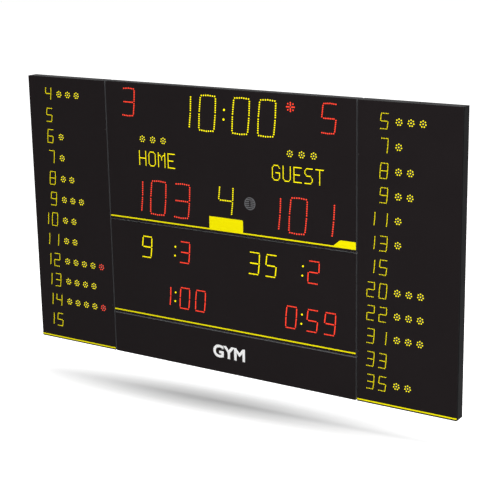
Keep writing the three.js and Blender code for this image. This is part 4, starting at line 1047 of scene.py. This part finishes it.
class SCOREBOARD_OT_digits(bpy.types.Operator):
    """Fit the LEDs of every lit stroke and colon"""

    bl_idname = "scoreboard.digits"
    bl_label = "Digits"

    def execute(self, context):
        sizes, led, says = settings("digits"), settings("leds"), settings("shown")
        kinds = {
            "clock": (sizes.clock_digit, sizes.clock_stroke, led.leds_per_stroke, True),
            "foul": (sizes.foul_digit, sizes.foul_stroke, led.leds_per_stroke, True),
            "period": (sizes.period_digit, sizes.foul_stroke, led.leds_per_stroke, True),
            "penalty": (sizes.penalty_digit, sizes.penalty_stroke, led.leds_per_small_stroke, False),
            "player": (sizes.player_digit, sizes.player_stroke, led.leds_per_player_stroke, False),
        }
        patterns = {}
        for kind, (height, stroke, number, arched) in kinds.items():
            lens = (stroke / 2 - led.play) * (led.lens_share if arched else 1)
            patterns[kind] = lens, led_pattern(kind + " LED", lens)
        colon = led_pattern("colon LED", sizes.colon_radius)
        small_colon = led_pattern("small colon LED", sizes.small_colon_radius)

        def figures(kind, text, xs, z):
            height, stroke, number, arched = kinds[kind]
            lens = patterns[kind][0]
            places = []
            for figure, x in zip(text, xs):
                places += digit_places(figure, x, z, height, stroke, number, lens, arched)
            return places

        def cells(kind, low, high, number):
            """The middles of a board's digits, from its first and last cells."""
            half = kinds[kind][0] * sizes.cell_half_share
            return even(low.x + half, high.x - half, number)

        rows = (
            ("home_foul", "foul", says.home_fouls, "Red"),
            ("guest_foul", "foul", says.guest_fouls, "Red"),
            ("home_score", "clock", says.home_score, "Red"),
            ("guest_score", "clock", says.guest_score, "Red"),
            ("period", "period", says.period, "Yellow"),
        )
        for name, kind, text, light in rows:
            low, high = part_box(name + "_board")
            xs = cells(kind, low, high, len(text))
            places = figures(kind, text, xs, (low.z + high.z) / 2)
            lit_piece(name + "_leds", name + "_board", patterns[kind][1], places, light)

        low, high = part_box("clock_board")
        half = sizes.clock_digit * sizes.cell_half_share
        pitch = 2 * half + sizes.clock_gap
        middle, z = (low.x + high.x) / 2, (low.z + high.z) / 2
        xs = [low.x + half, low.x + half + pitch, high.x - half - pitch, high.x - half]
        places = figures("clock", says.clock, xs, z)
        lit_piece("clock_leds", "clock_board", patterns["clock"][1], places, "Yellow")
        lit_piece("clock_colon_leds", "clock_board", colon, colon_places(middle, z), "Yellow")

        half = sizes.penalty_digit * sizes.cell_half_share
        lean = sizes.colon_half * math.tan(sizes.lean)
        for side in ("home", "guest"):
            number_board, time_board = side + "_penalty_number_board", side + "_penalty_time_board"
            low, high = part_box(number_board)
            z = (low.z + high.z) / 2
            xs = [low.x + half, low.x + 3 * half + sizes.shirt_gap]
            places = figures("penalty", getattr(says, side + "_shirt"), xs, z)
            lit_piece(side + "_shirt_leds", number_board, patterns["penalty"][1], places, "Yellow")
            colon_x = high.x - sizes.colon_margin - lean
            places = colon_places(colon_x, z)
            lit_piece(side + "_tally_colon_leds", number_board, small_colon, places, "Yellow")
            low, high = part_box(time_board)
            tally_x = colon_x + sizes.tally_gap + half
            tally = figures("penalty", getattr(says, side + "_tally"), [tally_x], z)
            z = low.z + (sizes.penalty_digit + sizes.penalty_stroke) / 2 + sizes.board_margin
            last = high.x - half
            second = last - 2 * half - sizes.timer_gap
            timer = figures("penalty", getattr(says, side + "_timer"), [low.x + half, second, last], z)
            lit_piece(side + "_timer_leds", time_board, patterns["penalty"][1], tally + timer, "Red")
            places = colon_places(low.x + 2 * half + sizes.timer_colon_gap, z)
            lit_piece(side + "_timer_colon_leds", time_board, small_colon, places, "Yellow")

        reach = (sizes.player_digit + sizes.player_stroke) / 2 + sizes.board_margin
        half = sizes.player_digit * sizes.cell_half_share
        for side in ("home", "guest"):
            board = side + "_number_board"
            low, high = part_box(board)
            numbers = getattr(says, side + "_players").split()
            places = []
            for number, z in zip(numbers, even(high.z - reach, low.z + reach, len(numbers))):
                places += figures("player", number.rjust(2), [low.x + half, high.x - half], z)
            lit_piece(side + "_number_leds", board, patterns["player"][1], places, "Yellow")
        put_away(colon, small_colon, *[pattern for lens, pattern in patterns.values()])
        return {"FINISHED"}


class SCOREBOARD_OT_lamps(bpy.types.Operator):
    """Fit the LED lamps: players' fouls, time-outs and the possession star"""

    bl_idname = "scoreboard.lamps"
    bl_label = "Lamps"

    def execute(self, context):
        led, says = settings("leds"), settings("shown")
        lamp = led_pattern("lamp LED", led.lamp_lens)
        star = led_pattern("star LED", led.star_lens)
        reach = led.lamp_radius + led.lamp_margin

        def lamp_places(x, z):
            return ring_places(x, z, led.lamp_ring, led.lamp_leds) + [(x, 0, z)]

        for side in ("home", "guest"):
            board = side + "_foul_lamp_board"
            low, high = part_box(board)
            fouls = [int(word) for word in getattr(says, side + "_lamps").split()]
            lights = {"Yellow": [], "Red": []}
            xs = even(low.x + reach, high.x - reach, FOUL_LAMPS)
            for number, z in zip(fouls, even(high.z - reach, low.z + reach, len(fouls))):
                for i, x in enumerate(xs[:number]):
                    lights["Red" if i == FOUL_LAMPS - 1 else "Yellow"] += lamp_places(x, z)
            for light, places in lights.items():
                if places:
                    lit_piece(f"{side}_foul_lamp_{light.lower()}_leds", board, lamp, places, light)
            board = side + "_timeout_board"
            low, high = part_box(board)
            middle, z = (low.x + high.x) / 2, (low.z + high.z) / 2
            places = []
            for step in (-1, 0, 1):
                places += lamp_places(middle + step * ((high.x - low.x) / 2 - reach), z)
            lit_piece(side + "_timeout_leds", board, lamp, places, "Yellow")

        low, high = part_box("possession_board")
        x, z = (low.x + high.x) / 2, (low.z + high.z) / 2
        places = ring_places(x, z, led.star_inner, led.star_arms // 2)
        places += ring_places(x, z, led.star_outer, led.star_arms)
        lit_piece("possession_leds", "possession_board", star, places, "Red")
        core = led_pattern("star core LED", led.star_core_lens)
        places = ring_places(x, z, led.star_core, led.star_arms // 2)
        lit_piece("possession_core_leds", "possession_board", core, places, "Red")
        put_away(lamp, star, core)
        return {"FINISHED"}


class SCOREBOARD_OT_names(bpy.types.Operator):
    """Light the two dot matrices where their words are"""

    bl_idname = "scoreboard.names"
    bl_label = "Names"

    def execute(self, context):
        led, says = settings("leds"), settings("shown")
        dot = led_pattern("matrix dot", led.dot_lens, FRONT + led.dot_depth, sunk=False)
        for side in ("home", "guest"):
            board = side + "_name_board"
            low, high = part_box(board)
            middle, z = (low.x + high.x) / 2, (low.z + high.z) / 2
            word = getattr(says, side + "_name")
            pitch = LETTER_COLUMNS + 1
            columns = pitch * len(word) - 1
            places = []
            for i, letter in enumerate(word):
                for column, row in self.dots(DOT_LETTERS[letter]):
                    x = middle + (pitch * i + column - (columns - 1) / 2) * led.dot_column
                    places.append((x, 0, z + (LETTER_ROWS // 2 - row) * led.dot_row))
            lit_piece(side + "_name_leds", board, dot, places, "Yellow")
        put_away(dot)
        return {"FINISHED"}

    @staticmethod
    def dots(letter):
        """A letter's dots as columns and rows, with one more halfway between two neighbours."""
        lit = set()
        for row, dots in enumerate(letter):
            lit |= {(column, row) for column, dot in enumerate(dots) if dot == "1"}
        found = set(lit)
        for column, row in lit:
            for across, down in ((1, 0), (0, 1), (1, 1), (-1, 1)):
                corner = across and down and ((column + across, row) in lit or (column, row + down) in lit)
                if (column + across, row + down) in lit and not corner:
                    found.add((column + across / 2, row + down / 2))
        return sorted(found)


class SCOREBOARD_OT_grille(bpy.types.Operator):
    """Press the horn's grille: a round plate with level slots and an upright one in its middle"""

    bl_idname = "scoreboard.grille"
    bl_label = "Horn grille"

    def execute(self, context):
        grille = settings("grille")
        low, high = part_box("horn_grille")
        middle = (low + high) / 2
        plate = added_disc("slotted_grille", (high.x - low.x) / 2, high.y - low.y, grille.sides, middle)
        for finish in ("Grille", "Cover"):
            plate.data.materials.append(bpy.data.materials[finish])
        opened(plate)
        choose(plate, front_face)
        bpy.ops.mesh.bevel(offset=grille.edge_bevel, segments=2)
        choose(plate, front_face)
        bpy.ops.mesh.inset(thickness=grille.rim)
        reach = (high.x - low.x) / 2 - grille.rim

        def inside(face):
            flat = face.calc_center_median() - middle
            return front_face(face) and math.hypot(flat.x, flat.z) < reach - grille.edge_bevel

        rows = [(i - (grille.slots - 1) / 2) * grille.slot_pitch for i in range(grille.slots)]
        for row in rows:
            for side in (-1, 1):
                level = middle.z + row + side * grille.slot_height / 2
                choose(plate, inside)
                bpy.ops.mesh.bisect(plane_co=(0, 0, level), plane_no=(0, 0, 1))
        for side in (-1, 1):
            cut = middle.x + side * grille.middle_width / 2
            choose(plate, inside)
            bpy.ops.mesh.bisect(plane_co=(cut, 0, 0), plane_no=(1, 0, 0))

        def in_slot(face):
            flat = face.calc_center_median() - middle
            level = any(abs(flat.z - row) < grille.slot_height / 2 for row in rows)
            upright = abs(flat.x) < grille.middle_width / 2 and abs(flat.z) < grille.middle_height / 2
            return inside(face) and (level or upright)

        choose(plate, in_slot)
        push_forward(-grille.slot_depth)
        # Painted shade, partly real: the slots' floors take the covers' black, for the black horn and the
        # shade that show through a pierced grille's slots.
        plate.active_material_index = 1
        bpy.ops.object.material_slot_assign()
        closed(plate)
        finished(plate, body_of("horn_grille"), "grille_grey", "Grille", "Cover")
        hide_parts("horn_grille")
        return {"FINISHED"}


class SCOREBOARD_OT_word(bpy.types.Operator):
    """Lay the sign cabinet's generic word on its cover"""

    bl_idname = "scoreboard.word"
    bl_label = "Sign word"

    def execute(self, context):
        sizes = settings("word")
        deselect()
        bpy.ops.object.text_add(location=(0, 0, 0))
        word = context.active_object
        word.data.body = settings("shown").sign_word
        word.data.align_x = "CENTER"
        word.data.align_y = "CENTER"
        word.data.bevel_depth = sizes.boldness
        word.data.bevel_resolution = 0
        word.data.resolution_u = 6
        bpy.ops.object.convert(target="MESH")
        word = named("sign_word")
        corners = [Vector(corner) for corner in word.bound_box]
        least = Vector([min(corner[i] for corner in corners) for i in range(3)])
        most = Vector([max(corner[i] for corner in corners) for i in range(3)])
        opened(word)
        bpy.ops.mesh.select_all(action="SELECT")
        bpy.ops.mesh.remove_doubles(threshold=MERGE_GAP)
        closed(word)

        # The text lies flat on the ground: it is scaled to the film's size, then stood up on the cover.
        wanted = (sizes.width, sizes.height, sizes.film)
        parts = [part / (high - low) for part, low, high in zip(wanted, least, most)]
        scale = Matrix.Diagonal(parts).to_4x4()
        stand = Matrix(((1, 0, 0), (0, 0, -1), (0, 1, 0))).to_4x4()
        place = Matrix.Translation((0, FRONT - sizes.film / 2, sizes.level))
        word.data.transform(place @ stand @ scale @ Matrix.Translation(-(least + most) / 2))
        finished(word, "cabinets", "box_grey", "Word")
        return {"FINISHED"}


class SCOREBOARD_OT_rivets(bpy.types.Operator):
    """Rivet the back sheets to their rails"""

    bl_idname = "scoreboard.rivets"
    bl_label = "Rivets"

    def execute(self, context):
        sizes = settings("rivets")
        middle = (0, sizes.head_edge / 2, 0)
        head = added_disc("rivet head", sizes.head_radius, sizes.head_edge, sizes.sides, middle)
        opened(head)
        choose(head, back_face)
        for inwards, outwards in HEAD_STEPS:
            bpy.ops.mesh.inset(thickness=inwards, depth=outwards)
        smoothed(closed(head), 40)
        for side in ("left", "right", "top", "middle", "sign"):
            low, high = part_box(side + "_back_sheet")
            y = high.y - sizes.set_back
            left, right = low.x + sizes.edge, high.x - sizes.edge
            bottom, top = low.z + sizes.edge, high.z - sizes.edge
            across = max(2, round((right - left) / sizes.spacing) + 1)
            up = max(2, round((top - bottom) / sizes.spacing) + 1)
            places = [(x, y, z) for x in even(left, right, across) for z in (bottom, top)]
            places += [(x, y, z) for z in even(bottom, top, up)[1:-1] for x in (left, right)]
            piece = copies(head, places, side + "_rivets")
            finished(piece, "cabinets", "zinc_steel", "Rivet")
        put_away(head)
        return {"FINISHED"}


PIECES = (
    SCOREBOARD_OT_stage,
    SCOREBOARD_OT_finishes,
    SCOREBOARD_OT_digits,
    SCOREBOARD_OT_lamps,
    SCOREBOARD_OT_names,
    SCOREBOARD_OT_grille,
    SCOREBOARD_OT_word,
    SCOREBOARD_OT_rivets,
)


class SCOREBOARD_PT_sidebar(bpy.types.Panel):
    """The scoreboard's operators and settings"""

    bl_idname = "SCOREBOARD_PT_sidebar"
    bl_label = "Scoreboard"
    bl_space_type = "VIEW_3D"
    bl_region_type = "UI"
    bl_category = "Scoreboard"

    def draw(self, context):
        for piece in PIECES:
            self.layout.operator(piece.bl_idname)


SETTINGS = {
    "stage": StageSettings,
    "shown": ShownSettings,
    "digits": DigitSettings,
    "leds": LedSettings,
    "film": FilmSettings,
    "grille": GrilleSettings,
    "word": WordSettings,
    "rivets": RivetSettings,
    "colours": ColourSettings,
}


def register():
    for cls in (*SETTINGS.values(), *PIECES, SCOREBOARD_PT_sidebar):
        bpy.utils.register_class(cls)
    for name, cls in SETTINGS.items():
        setattr(bpy.types.Scene, "scoreboard_" + name, bpy.props.PointerProperty(type=cls))


def unregister():
    for name in SETTINGS:
        delattr(bpy.types.Scene, "scoreboard_" + name)
    for cls in reversed((*SETTINGS.values(), *PIECES, SCOREBOARD_PT_sidebar)):
        bpy.utils.unregister_class(cls)


def main():
    register()
    for piece in PIECES:
        category, name = piece.bl_idname.split(".")
        getattr(getattr(bpy.ops, category), name)()


if __name__ == "__main__":
    main()
